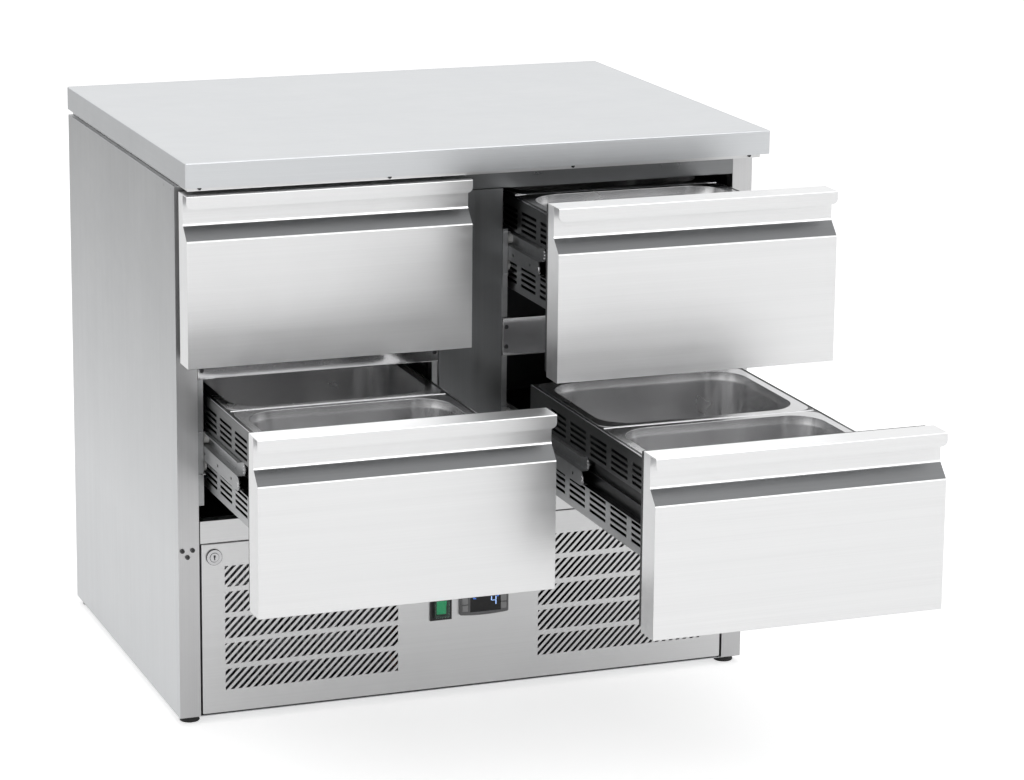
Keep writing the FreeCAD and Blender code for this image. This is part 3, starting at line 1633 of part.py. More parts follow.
def make_condenser():
    front = post_plane + s.condenser_front
    back = front + s.condenser_depth
    left = -s.condenser_side - s.condenser_width / 2
    right = left + s.condenser_width
    base = machine_floor
    top = base + s.condenser_height
    middle_z = base + s.condenser_height / 2
    core = fin_pack(
        "condenser_core", (left, front, base), (right, back, top),
        COUNTS["condenser_fins"], COUNTS["condenser_tubes"],
    )
    cowl_back = back + s.cowl_depth
    shroud = tray("cowl_box", (left, back, base), (right, cowl_back, top), s.sheet, open_low=(0, 1, 0))
    ring = cylinder(
        "cowl_hole", (-s.condenser_side, cowl_back - s.sheet - s.cut_overrun, middle_z),
        s.cowl_hole_radius, s.sheet + s.cut_overrun * 2, "y",
    )
    bar_back = cowl_back + s.bracket_depth
    bar = box(
        "bracket_bar",
        (-s.condenser_side - s.bracket_reach, bar_back - s.bracket_thickness,
         middle_z - s.bracket_width / 2),
        (-s.condenser_side + s.bracket_reach, bar_back, middle_z + s.bracket_width / 2),
    )
    legs = []
    for side in (-1, 1):
        centre = -s.condenser_side + (s.bracket_reach - s.bracket_thickness / 2) * side
        legs.append(box(
            f"bracket_leg_{side + 1}",
            (centre - s.bracket_thickness / 2, cowl_back, middle_z - s.bracket_width / 2),
            (centre + s.bracket_thickness / 2, bar_back, middle_z + s.bracket_width / 2),
        ))
    shaft_hole = cylinder(
        "shaft_hole",
        (-s.condenser_side, bar_back - s.bracket_thickness - s.cut_overrun, middle_z),
        s.shaft_radius + s.shaft_clearance, s.bracket_thickness + s.cut_overrun * 2, "y",
    )
    bracket = cut("fan_bracket", fuse("bracket_blank", bar, *legs), shaft_hole)
    motor_base = (-s.condenser_side, bar_back, middle_z)
    motor = cylinder("fan_motor", motor_base, s.motor_radius, s.motor_length, "y")
    node("condenser", group("condenser", core, cut("cowl", shroud, ring), bracket, motor))
    fan_front = bar_back - s.bracket_thickness - s.fan_gap - s.fan_depth
    shaft = cylinder(
        "fan_shaft", (ZERO, s.fan_depth, ZERO), s.shaft_radius,
        s.fan_gap + s.bracket_thickness - s.running_gap, "y",
    )
    fan = make_fan(
        "condenser_fan", s.fan_hub_radius, s.fan_radius, s.fan_depth, shaft,
        s.blade_width, s.blade_thickness, COUNTS["fan_blades"],
    )
    node("condenser_fan", fan, -s.condenser_side, fan_front, middle_z)


def make_evaporator():
    left = mullion_side + s.cover_edge
    right = opening_side - s.cover_edge
    front = liner_back - s.cover_depth
    base = s.cover_base
    top = base + s.cover_height
    middle_x = (left + right) / 2
    middle_z = base + s.cover_height / 2
    coil_back = liner_back - s.coil_back_gap
    coil = fin_pack(
        "evaporator",
        (left + s.coil_edge, coil_back - s.coil_depth, base + s.coil_edge),
        (right - s.coil_edge, coil_back, top - s.coil_edge),
        COUNTS["coil_fins"], COUNTS["condenser_tubes"],
    )
    node("evaporator", coil)
    cover = tray("cover_box", (left, front, base), (right, liner_back, top), s.sheet, open_high=(0, 1, 0))
    hole = cylinder(
        "cover_hole", (middle_x, front - s.cut_overrun, middle_z), s.cover_hole_radius,
        s.sheet + s.cut_overrun * 2, "y",
    )
    slot_top = base + s.coil_edge
    vent = box(
        "cover_vent", (left + s.coil_edge, front + s.coil_edge, base - s.cut_overrun),
        (right - s.coil_edge, liner_back - s.coil_edge, slot_top),
    )
    pipe_gap = box(
        "pipe_gap",
        (right - s.sheet - s.cut_overrun, s.suction_back - s.pipe_radius - s.running_gap,
         s.suction_top - s.pipe_bend),
        (right + s.cut_overrun, s.suction_back + s.pipe_radius + s.running_gap,
         s.suction_top + s.pipe_radius + s.running_gap),
    )
    bar_front = front + s.sheet
    reach = s.cover_hole_radius + s.cold_bar_width
    bar = box(
        "cold_bar", (middle_x - reach, bar_front, middle_z - s.cold_bar_width / 2),
        (middle_x + reach, bar_front + s.cold_bar_thickness, middle_z + s.cold_bar_width / 2),
    )
    motor_front = bar_front + s.cold_bar_thickness
    motor = cylinder(
        "cold_motor", (middle_x, motor_front, middle_z), s.cold_motor_radius, s.cold_motor_length, "y",
    )
    shell = cut("cover_shell", cover, hole, vent, pipe_gap)
    node("evaporator_cover", group("evaporator_cover", shell, fuse("cold_motor_on_bar", bar, motor)))
    motor_back = motor_front + s.cold_motor_length
    shaft = cylinder(
        "cold_shaft", (ZERO, -s.cold_shaft + s.running_gap, ZERO), s.shaft_radius,
        s.cold_shaft - s.running_gap, "y",
    )
    fan = make_fan(
        "evaporator_fan", s.cold_hub_radius, s.cold_fan_radius, s.cold_fan_depth, shaft,
        s.cold_blade_width, s.cold_blade_thickness, COUNTS["cold_blades"],
    )
    node("evaporator_fan", fan, middle_x, motor_back + s.cold_shaft, middle_z)


def bent_tube(corners, radius, bend):
    """A round tube along straight runs joined by tangent arcs."""
    points = [FreeCAD.Vector(*[length(size).value for size in corner]) for corner in corners]
    edges = []
    start = points[0]
    for before, corner, after in zip(points, points[1:], points[2:]):
        into = (corner - before).normalize()
        out = (after - corner).normalize()
        turn = into.getAngle(out)
        back_off = bend * math.tan(turn / 2)
        first = corner - into * back_off
        last = corner + out * back_off
        inward = (out - into).normalize()
        centre = corner + inward * (bend / math.cos(turn / 2))
        middle = centre - inward * bend
        edges.append(Part.LineSegment(start, first).toShape())
        edges.append(Part.Arc(first, middle, last).toShape())
        start = last
    edges.append(Part.LineSegment(start, points[-1]).toShape())
    path = Part.Wire(edges)
    direction = points[1] - points[0]
    ring = Part.Wire(Part.Circle(points[0], direction, radius).toShape())
    tube = path.makePipeShell([ring], True, True)
    return Part.Solid(tube) if tube.ShapeType == "Shell" else tube


def make_pipework():
    """Copper pipes between the compressor, condenser and evaporator, and the drain."""
    shell_right = s.compressor_side + s.compressor_radius
    shell_left = s.compressor_side - s.compressor_radius
    cover_right = opening_side - s.cover_edge
    coil_side = cover_right - s.coil_edge
    condenser_right = -s.condenser_side + s.condenser_width / 2
    lane = condenser_right + s.pipe_lane
    condenser_middle = post_plane + s.condenser_front + s.condenser_depth / 2
    coil_base = s.cover_base + s.coil_edge
    routes = (
        [
            (shell_right, s.compressor_back, s.suction_height),
            (s.suction_side, s.compressor_back, s.suction_height),
            (s.suction_side, s.suction_back, s.suction_height),
            (s.suction_side, s.suction_back, s.suction_top),
            (coil_side, s.suction_back, s.suction_top),
        ],
        [
            (condenser_right, condenser_middle, s.liquid_height),
            (lane, condenser_middle, s.liquid_height),
            (lane, s.liquid_back, s.liquid_height),
            (s.liquid_side, s.liquid_back, s.liquid_height),
            (s.liquid_side, s.liquid_back, coil_base),
        ],
        [
            (shell_left, s.compressor_back, s.discharge_height),
            (lane, s.compressor_back, s.discharge_height),
            (lane, condenser_middle, s.discharge_height),
            (condenser_right, condenser_middle, s.discharge_height),
        ],
    )
    radius = s.pipe_radius.value
    bend = s.pipe_bend.value
    tubes = [bent_tube(route, radius, bend) for route in routes]
    drain_base = FreeCAD.Vector(-s.tray_side.value, s.tray_back.value, s.drain_end.value)
    rise = floor_level.value - s.drain_end.value
    bore = s.drain_radius.value - s.drain_wall.value
    drain = Part.makeCylinder(s.drain_radius.value, rise, drain_base)
    tubes.append(drain.cut(Part.makeCylinder(bore, rise, drain_base)))
    pipes = doc.addObject("Part::Feature", "pipework")
    pipes.Shape = Part.makeCompound(tubes)
    node("pipework", pipes)


def make_electrical_box():
    left = -s.electrical_side - s.electrical_width / 2
    front = post_plane + s.electrical_front
    base = machine_floor
    top = base + s.electrical_height
    case = box("electrical_case", (left, front, base),
               (left + s.electrical_width, front + s.electrical_depth, top))
    lid = box(
        "electrical_lid", (left - s.electrical_lid / 2, front - s.electrical_lid / 2, top),
        (left + s.electrical_width + s.electrical_lid / 2,
         front + s.electrical_depth + s.electrical_lid / 2, top + s.electrical_lid),
    )
    node("electrical_box", fuse("electrical_box", case, lid))


def make_evaporation_tray():
    low = (-s.tray_side - s.tray_width / 2, s.tray_back - s.tray_depth / 2, machine_floor)
    high = (-s.tray_side + s.tray_width / 2, s.tray_back + s.tray_depth / 2, machine_floor + s.tray_height)
    node("evaporation_tray", tray("evaporation_tray", low, high, s.sheet, open_high=(0, 0, 1)))


def build():
    strip_screws = make_strip_screws()
    post_screws = make_post_screws()
    crossbar_screws = make_crossbar_screws()
    node("frame_screws", group("frame_screws", strip_screws, post_screws, crossbar_screws))
    make_worktop(strip_screws)
    make_side_casings(post_screws)
    make_back_casing()
    make_cable_gland()
    make_base_tray()
    make_liner()
    make_insulation()
    make_rails()
    make_mullion()
    make_crossbars(crossbar_screws)
    make_feet()
    make_runner_frames()
    make_drawers()
    make_machine_panel()
    make_lock()
    make_switch()
    make_controller()
    make_compressor()
    make_condenser()
    make_evaporator()
    make_pipework()
    make_electrical_box()
    make_evaporation_tray()
    doc.recompute()


def check():
    """Stops at any object that failed, and at any piece without a valid solid."""
    for item in doc.Objects:
        if "Invalid" in item.State or "Error" in item.State:
            raise RuntimeError(f"{item.Name} did not compute: {item.State}")
    for item in nodes:
        shape = item.Shape
        if shape.isNull() or not shape.isValid() or not shape.Solids:
            raise RuntimeError(f"{item.Label} has no valid solid")


def export():
    os.makedirs(OUTPUT, exist_ok=True)
    for item in nodes:
        item.Shape.exportStep(os.path.join(OUTPUT, item.Label + ".step"))
    print(len(nodes), "pieces written")


build()
check()
export()
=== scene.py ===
import json
import math
from contextlib import contextmanager

import bmesh
import bpy
from bpy.props import FloatProperty, FloatVectorProperty, IntProperty, PointerProperty
from mathutils import Matrix, Vector

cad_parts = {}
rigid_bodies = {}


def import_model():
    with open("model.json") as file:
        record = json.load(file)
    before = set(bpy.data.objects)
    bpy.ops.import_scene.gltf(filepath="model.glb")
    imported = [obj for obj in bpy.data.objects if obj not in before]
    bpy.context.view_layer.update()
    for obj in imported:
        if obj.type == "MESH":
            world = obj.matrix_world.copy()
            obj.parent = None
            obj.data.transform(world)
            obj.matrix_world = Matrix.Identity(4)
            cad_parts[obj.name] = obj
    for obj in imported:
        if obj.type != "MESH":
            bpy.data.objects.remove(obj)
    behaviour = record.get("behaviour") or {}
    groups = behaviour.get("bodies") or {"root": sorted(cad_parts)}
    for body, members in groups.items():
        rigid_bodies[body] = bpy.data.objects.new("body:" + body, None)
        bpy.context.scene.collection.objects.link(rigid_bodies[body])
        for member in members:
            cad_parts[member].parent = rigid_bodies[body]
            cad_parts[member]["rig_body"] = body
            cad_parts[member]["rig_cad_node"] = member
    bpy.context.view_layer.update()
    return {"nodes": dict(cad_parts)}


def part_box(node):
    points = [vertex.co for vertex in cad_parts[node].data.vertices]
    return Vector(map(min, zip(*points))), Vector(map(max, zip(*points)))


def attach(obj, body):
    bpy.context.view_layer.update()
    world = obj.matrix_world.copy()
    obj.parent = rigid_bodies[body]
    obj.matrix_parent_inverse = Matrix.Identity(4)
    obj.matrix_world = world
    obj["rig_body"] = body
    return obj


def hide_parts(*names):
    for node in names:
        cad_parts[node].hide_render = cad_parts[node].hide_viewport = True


bl_info = {
    "name": "Refrigerated counter",
    "version": (1, 0, 0),
    "blender": (4, 5, 0),
    "location": "3D View > Sidebar > Counter",
    "description": "Models and finishes a refrigerated counter with four drawers",
    "category": "Object",
}

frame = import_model()

DRAWERS = ("top_left", "bottom_left", "top_right", "bottom_right")
X = Vector((1, 0, 0))
Y = Vector((0, 1, 0))
Z = Vector((0, 0, 1))
TINY = 0.00002
POST_PLANE = -0.288
BASKET_HALF = 0.168
ROLLER_SPAN = 0.0215
PAN_LENGTH, PAN_WIDTH = 0.325, 0.265
KEYS = ("left_lower_button", "left_upper_button", "right_lower_button", "right_upper_button")


# Settings


def tint(name, description, colour):
    return FloatVectorProperty(
        name=name, description=description, subtype="COLOR", size=3, min=0, max=1, default=colour)


def length(name, description, smallest, largest, value):
    return FloatProperty(
        name=name, description=description, unit="LENGTH", min=smallest, max=largest, default=value)


class SteelSettings(bpy.types.PropertyGroup):
    worktop_tint: tint("Worktop", "Colour of the worktop's steel", (0.67, 0.685, 0.70))
    front_tint: tint("Fronts", "Colour of the drawer fronts' steel", (0.86, 0.862, 0.865))
    casing_tint: tint("Casing", "Colour of the casing's steel", (0.72, 0.73, 0.74))
    post_tint: tint("Posts", "Colour of the two front posts", (0.62, 0.62, 0.625))
    # Painted shade: this tint is kept low to paint the shade behind the drawer fronts onto the top rail, the
    # mullion and the grip slopes
    shade_behind_fronts_tint: tint("Frame", "Colour of the duller steel behind the drawer fronts", (0.24, 0.245, 0.25))
    panel_tint: tint("Machine panel", "Colour of the machine panel and the strip", (0.74, 0.742, 0.745))
    # Painted shade: the liner's satin steel gets a near-black tint for the shade in the cold space
    liner_shade_tint: tint("Liner", "Colour of the satin steel in the cold space", (0.06, 0.061, 0.063))
    runner_tint: tint("Runners", "Colour of the zinc on the runners", (0.42, 0.425, 0.43))
    pan_tint: tint("Pans", "Colour of the food pans' steel", (0.66, 0.66, 0.665))
    bend: length("Bend", "Outer radius of the bends in the sheet", 0.0005, 0.005, 0.002)
    sheet: length("Sheet", "Thickness of the sheet", 0.0005, 0.003, 0.0012)


class DrawerSettings(bpy.types.PropertyGroup):
    flat_height: length("Flat height", "Height of the flat part of a front", 0.1, 0.22, 0.184)
    chamfer: length("Chamfer", "Height of the slope under the finger lip", 0.005, 0.04, 0.021)
    lip_depth: length("Lip depth", "Depth of the room behind the finger lip", 0.01, 0.03, 0.02)
    lip_drop: length("Lip drop", "Height of the finger lip", 0.01, 0.03, 0.019)
    lip_corner: length("Lip corner", "Radius of the lip's lower corners", 0.001, 0.015, 0.008)
    pan_rim: length("Pan rim", "Width of a pan's rim", 0.005, 0.02, 0.012)
    pan_depth: length("Pan depth", "Depth of a pan", 0.02, 0.15, 0.1)
    pan_corner: length("Pan corner", "Radius of a pan's corners", 0.01, 0.06, 0.048)
    pan_rim_corner: length("Rim corner", "Radius of the rim's outer corners", 0.002, 0.04, 0.02)
    pan_floor_round: length("Pan floor", "Radius between a pan's walls and floor", 0.005, 0.03, 0.016)


class ControlSettings(bpy.types.PropertyGroup):
    reading: IntProperty(
        name="Reading", description="Number on the display", min=0, max=9, default=4)
    glow_tint: tint("Digits", "Colour of the lit digits", (0.36, 0.55, 1.0))
    rocker_tint: tint("Rocker", "Colour of the switch's rocker", (0.03, 0.72, 0.36))


class StageSettings(bpy.types.PropertyGroup):
    lens: FloatProperty(
        name="Lens", description="Focal length of the camera in millimetres", min=20, max=300,
        default=123.36)
    floor_tint: tint("Floor", "Colour of the floor", (0.9, 0.9, 0.9))


# Modelling by hand


def deselect_all():
    bpy.ops.object.select_all(action="DESELECT")


def select_only(piece):
    deselect_all()
    piece.select_set(True)
    bpy.context.view_layer.objects.active = piece


@contextmanager
def editing(piece):
    select_only(piece)
    bpy.ops.object.mode_set(mode="EDIT")
    yield
    bpy.ops.object.mode_set(mode="OBJECT")


def pick(piece, kind, test=None):
    """Selects the faces, edges or vertices that pass a test, and nothing else."""
    bpy.ops.mesh.select_mode(type=kind)
    bpy.ops.mesh.select_all(action="DESELECT")
    mesh = bmesh.from_edit_mesh(piece.data)
    parts = {"FACE": mesh.faces, "EDGE": mesh.edges, "VERT": mesh.verts}[kind]
    found = [part for part in parts if test is None or test(part)]
    if not found:
        raise RuntimeError(f"{piece.name}: no {kind.lower()} passes the test")
    for part in found:
        part.select_set(True)
    mesh.select_flush_mode()
    bmesh.update_edit_mesh(piece.data)


def faces(face, axis):
    """Whether a face looks along an axis."""
    return face.normal.dot(axis) > 0.99


def level(face):
    return face.calc_center_median()


def middle(edge):
    return (edge.verts[0].co + edge.verts[1].co) / 2


def runs(edge, axis):
    """Whether an edge lies along an axis."""
    line = edge.verts[1].co - edge.verts[0].co
    return abs(line.dot(axis)) > line.length * 0.999


def near(value, target, gap=TINY):
    return abs(value - target) < gap


def lies(edge, axis, place):
    """Whether both ends of an edge are at one place along an axis."""
    return all(near(vert.co.dot(axis), place) for vert in edge.verts)


def extrude(move):
    bpy.ops.mesh.extrude_region_move(TRANSFORM_OT_translate={"value": move})


def inset(width, depth=0, each=False):
    bpy.ops.mesh.inset(thickness=width, depth=depth, use_individual=each)


def bevel(width, segments=3, corners=False):
    bpy.ops.mesh.bevel(
        offset=width, offset_type="OFFSET", segments=segments, profile=0.5,
        affect="VERTICES" if corners else "EDGES", clamp_overlap=True)


def pick_all():
    bpy.ops.mesh.select_all(action="SELECT")


def slice_at(axis, place):
    """Adds a loop round the piece where a plane crosses it."""
    pick_all()
    bpy.ops.mesh.bisect(plane_co=axis * place, plane_no=axis)


def move(step):
    bpy.ops.transform.translate(value=step)


def resize(scale, centre):
    bpy.ops.transform.resize(value=scale, center_override=centre)


def settled(name):
    """Names the new primitive and puts its place and size in its mesh."""
    piece = bpy.context.active_object
    piece.name = name
    piece.data.name = name
    bpy.ops.object.transform_apply(location=True, rotation=True, scale=True)
    return piece


def add_block(name, low, high):
    deselect_all()
    low, high = Vector(low), Vector(high)
    bpy.ops.mesh.primitive_cube_add(size=1, location=(low + high) / 2, scale=high - low)
    return settled(name)


def add_rod(name, start, end, radius, sides=32):
    deselect_all()
    start, end = Vector(start), Vector(end)
    bpy.ops.mesh.primitive_cylinder_add(
        vertices=sides, radius=radius, depth=(end - start).length, location=(start + end) / 2,
        rotation=(end - start).to_track_quat("Z", "Y").to_euler())
    return settled(name)


def add_ball(name, centre, radius):
    deselect_all()
    bpy.ops.mesh.primitive_uv_sphere_add(segments=24, ring_count=12, radius=radius, location=centre)
    return settled(name)


def use_modifier(piece, kind, **settings):
    select_only(piece)
    modifier = piece.modifiers.new(kind.title(), kind)
    for key, value in settings.items():
        setattr(modifier, key, value)
    bpy.ops.object.modifier_apply(modifier=modifier.name)


def round_edges(piece, width, segments=2, angle=40):
    use_modifier(
        piece, "BEVEL", width=width, segments=segments, limit_method="ANGLE",
        angle_limit=math.radians(angle))


def drop(piece):
    bpy.data.objects.remove(piece)


def carve(piece, tool):
    """Cuts one piece out of another."""
    use_modifier(piece, "BOOLEAN", operation="DIFFERENCE", solver="EXACT", object=tool)
    drop(tool)


def duplicate(piece):
    """A copy with its own mesh."""
    select_only(piece)
    bpy.ops.object.duplicate(linked=False)
    return bpy.context.active_object


def copied(piece, name, offset):
    duplicate(piece).location = offset
    return settled(name)


def in_drawers(first, part, name):
    """Copies a piece of the top left drawer to all four, then drops the first one."""
    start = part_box("top_left_" + part)[0]
    for drawer in DRAWERS:
        low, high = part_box(f"{drawer}_{part}")
        yield drawer, low, high, copied(first, f"{drawer}_{name}", low - start)
    drop(first)


def joined(name, pieces):
    deselect_all()
    for piece in pieces:
        piece.select_set(True)
    bpy.context.view_layer.objects.active = pieces[0]
    bpy.ops.object.join()
    pieces[0].name = name
    pieces[0].data.name = name
    return pieces[0]


def merged_copy(node, name):
    """A copy of a CAD node with its triangles joined into whole faces."""
    piece = duplicate(frame["nodes"][node])
    piece.parent = None
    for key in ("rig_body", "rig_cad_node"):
        del piece[key]
    piece.name = name
    piece.data.name = name
    bpy.ops.mesh.customdata_custom_splitnormals_clear()
    with editing(piece):
        bpy.ops.mesh.select_mode(type="VERT")
        pick_all()
        bpy.ops.mesh.remove_doubles(threshold=0.000002)
        bpy.ops.mesh.dissolve_limited(angle_limit=math.radians(0.3))
    return piece


def breadth(face):
    """About the narrow side of a face, also of one that runs round a piece."""
    return 2 * face.calc_area() / face.calc_perimeter()


def is_bend(edge):
    """Whether an edge is an outer bend between two wide faces."""
    if len(edge.link_faces) != 2 or not edge.is_convex or edge.calc_face_angle() < 0.5:
        return False
    return min(breadth(face) for face in edge.link_faces) > 0.0025


def round_bends(piece, width):
    with editing(piece):
        pick(piece, "EDGE", is_bend)
        bevel(width)


def look(name):
    return bpy.data.materials[name + "_finish"]


def give(piece, material):
    piece.data.materials.clear()
    piece.data.materials.append(material)


def finish(piece, body, material, slot, *replaced, angle=35):
    """Smooths a piece, gives it its finish and sets it on its body."""
    select_only(piece)
    bpy.ops.object.shade_smooth_by_angle(angle=math.radians(angle))
    use_modifier(piece, "WEIGHTED_NORMAL", keep_sharp=True)
    give(piece, look(material))
    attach(piece, body)
    if replaced:
        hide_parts(*replaced)
    return piece


def dress(node, material):
    """Gives a CAD node its finish."""
    slots = frame["nodes"][node].data.materials
    if not slots:
        slots.append(look(material))
    for index in range(len(slots)):
        slots[index] = look(material)


def paint_where(piece, material, test):
    """Gives the faces that pass a test another finish."""
    piece.data.materials.append(look(material))
    index = len(piece.data.materials) - 1
    for face in piece.data.polygons:
        if test(face.center, face.normal):
            face.material_index = index


# Node groups that the finishes share


def new_group(name, inputs, outputs):
    tree = bpy.data.node_groups.new(name, "ShaderNodeTree")
    for socket, kind, value in inputs:
        item = tree.interface.new_socket(name=socket, in_out="INPUT", socket_type=kind)
        item.default_value = value
    for socket in outputs:
        tree.interface.new_socket(name=socket, in_out="OUTPUT", socket_type="NodeSocketFloat")
    return tree, tree.nodes.new("NodeGroupInput"), tree.nodes.new("NodeGroupOutput")


def put(tree, node, values):
    """Joins inputs of a node to other nodes' outputs, or gives them values of their own."""
    for socket, value in values.items():
        if isinstance(value, bpy.types.NodeSocket):
            tree.links.new(value, node.inputs[socket])
        else:
            node.inputs[socket].default_value = value


def noise(tree, vector, scale, detail=2, roughness=0.5, distortion=0):
    node = tree.nodes.new("ShaderNodeTexNoise")
    put(tree, node, {"Vector": vector, "Scale": scale, "Detail": detail, "Roughness": roughness,
                     "Distortion": distortion})
    return node.outputs["Fac"]


def spread(tree, value, low, high, to_low, to_high):
    """Maps a value from one range to another."""
    node = tree.nodes.new("ShaderNodeMapRange")
    put(tree, node, {"Value": value, "From Min": low, "From Max": high, "To Min": to_low, "To Max": to_high})
    return node.outputs["Result"]


def maths(tree, operation, first, second):
    node = tree.nodes.new("ShaderNodeMath")
    node.operation = operation
    put(tree, node, {0: first, 1: second})
    return node.outputs["Value"]


def weighted(tree, first, share, second, rest):
    """The sum of two values, each times its share."""
    return maths(tree, "ADD", maths(tree, "MULTIPLY", first, share), maths(tree, "MULTIPLY", second, rest))


def make_brushed_lines():
    """Fine lines and wider streaks; Stretch is the number of lines per metre along each axis."""
    tree, start, end = new_group(
        "brushed_lines",
        (("Vector", "NodeSocketVector", (0, 0, 0)), ("Stretch", "NodeSocketVector", (3, 600, 600))),
        ("Lines", "Streaks"))
    mapping = tree.nodes.new("ShaderNodeMapping")
    put(tree, mapping, {"Vector": start.outputs["Vector"], "Scale": start.outputs["Stretch"]})
    fine = noise(tree, mapping.outputs["Vector"], 1, 3, 0.65)
    wide = noise(tree, mapping.outputs["Vector"], 0.09, 2, 0.5)
    put(tree, end, {"Lines": spread(tree, fine, 0.3, 0.7, 0, 1),
                    "Streaks": spread(tree, wide, 0.3, 0.7, 0, 1)})


def make_handling_marks():
    """Soft patches, as wiping and fingers leave them; Size is the number of patches per metre."""
    tree, start, end = new_group(
        "handling_marks",
        (("Vector", "NodeSocketVector", (0, 0, 0)), ("Size", "NodeSocketFloat", 7.0)),
        ("Patches", "Waves"))
    place, size = start.outputs["Vector"], start.outputs["Size"]
    wide = noise(tree, place, size, 4)
    small = noise(tree, place, maths(tree, "MULTIPLY", size, 4.5), 3, distortion=0.6)
    waves = noise(tree, place, maths(tree, "MULTIPLY", size, 0.45), 0)
    both = weighted(tree, wide, 0.65, small, 0.35)
    put(tree, end, {"Patches": spread(tree, both, 0.35, 0.65, 0, 1), "Waves": waves})


def make_moulded_grain():
    """The fine pebbled face of moulded plastic or rubber; Size is the number of grains per metre."""
    tree, start, end = new_group(
        "moulded_grain",
        (("Vector", "NodeSocketVector", (0, 0, 0)), ("Size", "NodeSocketFloat", 1500.0)),
        ("Grain", "Cloud"))
    place, size = start.outputs["Vector"], start.outputs["Size"]
    cells = tree.nodes.new("ShaderNodeTexVoronoi")
    cells.feature = "SMOOTH_F1"
    put(tree, cells, {"Vector": place, "Scale": size})
    cloud = noise(tree, place, maths(tree, "MULTIPLY", size, 0.03), 3)
    put(tree, end, {"Grain": cells.outputs["Distance"], "Cloud": spread(tree, cloud, 0.3, 0.7, 0, 1)})


# Finishes


def new_material(name):
    material = bpy.data.materials.new(name + "_finish")
    material.use_nodes = True
    tree = material.node_tree
    place = tree.nodes.new("ShaderNodeTexCoord")
    return tree, tree.nodes["Principled BSDF"], place.outputs["Object"]


def use_group(tree, name, vector, **values):
    node = tree.nodes.new("ShaderNodeGroup")
    node.node_tree = bpy.data.node_groups[name]
    put(tree, node, {"Vector": vector, **values})
    return node.outputs


def shaded(tint, factor):
    return tuple(min(1, channel * factor) for channel in tint) + (1,)


def blend_colours(tree, mask, first, second):
    node = tree.nodes.new("ShaderNodeMix")
    node.data_type = "RGBA"
    put(tree, node, {0: mask, 6: first, 7: second})
    return node.outputs[2]


def bump(tree, height, strength, distance, normal=None):
    node = tree.nodes.new("ShaderNodeBump")
    put(tree, node, {"Strength": strength, "Distance": distance, "Height": height})
    if normal is not None:
        put(tree, node, {"Normal": normal})
    return node.outputs["Normal"]


def steel(name, tint, roughness, stretch, contrast=0.05, depth=0.15, waves=0.12, painted_reflection_fade=None):
    """Sheet steel with lines along one axis, uneven gloss and the slight waves of thin sheet.

    The painted reflection fade holds how much darker the colour is painted upwards, from which height to
    which, and every how many metres this repeats; it is a painted reflection of the darker room that upright
    sheet mirrors.
    """
    tree, shader, place = new_material(name)
    lines = use_group(tree, "brushed_lines", place, Stretch=stretch)
    hands = use_group(tree, "handling_marks", place, Size=7.0)
    tone = weighted(tree, lines["Lines"], 0.6, lines["Streaks"], 0.4)
    colour = blend_colours(tree, tone, shaded(tint, 1 - contrast), shaded(tint, 1 + contrast))
    if painted_reflection_fade:
        loss, start, end, pitch = painted_reflection_fade
        parts = tree.nodes.new("ShaderNodeSeparateXYZ")
        put(tree, parts, {"Vector": place})
        height = maths(tree, "MODULO", parts.outputs["Z"], pitch)
        # Painted reflection: a darker copy of the colour, blended in towards the top of each band
        dark = blend_colours(tree, tone, shaded(tint, 1 - contrast - loss), shaded(tint, 1 + contrast - loss))
        colour = blend_colours(tree, spread(tree, height, start, end, 0, 1), colour, dark)
    gloss = maths(tree, "ADD", spread(tree, hands["Patches"], 0, 1, roughness - 0.035, roughness + 0.035),
                  spread(tree, lines["Streaks"], 0, 1, -0.02, 0.02))
    soft = bump(tree, hands["Waves"], waves, 0.004)
    put(tree, shader, {"Base Color": colour, "Metallic": 1, "Roughness": gloss,
                       "Normal": bump(tree, lines["Lines"], depth, 0.00015, soft)})


def plastic(name, tint, roughness, grains=1500.0, depth=0.2, contrast=0.12):
    """Moulded plastic, rubber or paint with a fine grain and faint clouds of gloss."""
    tree, shader, place = new_material(name)
    grain = use_group(tree, "moulded_grain", place, Size=grains)
    hands = use_group(tree, "handling_marks", place, Size=18.0)
    colour = blend_colours(tree, grain["Cloud"], shaded(tint, 1 - contrast), shaded(tint, 1 + contrast))
    put(tree, shader, {
        "Base Color": colour, "Normal": bump(tree, grain["Grain"], depth, 0.0001),
        "Roughness": spread(tree, hands["Patches"], 0, 1, roughness - 0.06, roughness + 0.06)})


def copper(name):
    """Drawn tube with darker, duller patches of oxide."""
    tree, shader, place = new_material(name)
    hands = use_group(tree, "handling_marks", place, Size=40.0)
    colour = blend_colours(tree, hands["Patches"], (0.62, 0.30, 0.19, 1), (0.78, 0.46, 0.33, 1))
    put(tree, shader, {
        "Base Color": colour, "Metallic": 1, "Roughness": spread(tree, hands["Patches"], 0, 1, 0.5, 0.28),
        "Normal": bump(tree, hands["Waves"], 0.1, 0.001)})


def foam(name):
    """Cut rigid foam with open cells."""
    tree, shader, place = new_material(name)
    grain = use_group(tree, "moulded_grain", place, Size=700.0)
    colour = blend_colours(tree, grain["Grain"], (0.62, 0.52, 0.30, 1), (0.86, 0.80, 0.60, 1))
    put(tree, shader, {
        "Base Color": colour, "Roughness": spread(tree, grain["Cloud"], 0, 1, 0.85, 0.95),
        "Normal": bump(tree, grain["Grain"], 0.6, 0.0008)})


def clear_plastic(name):
    """The soft, greenish cap over the switch."""
    tree, shader, place = new_material(name)
    grain = use_group(tree, "moulded_grain", place, Size=500.0)
    colour = blend_colours(tree, grain["Cloud"], (0.62, 0.90, 0.76, 1), (0.72, 0.95, 0.84, 1))
    put(tree, shader, {
        "Base Color": colour, "Transmission Weight": 1, "IOR": 1.42,
        "Roughness": spread(tree, grain["Cloud"], 0, 1, 0.06, 0.14),
        "Normal": bump(tree, grain["Cloud"], 0.1, 0.0003)})


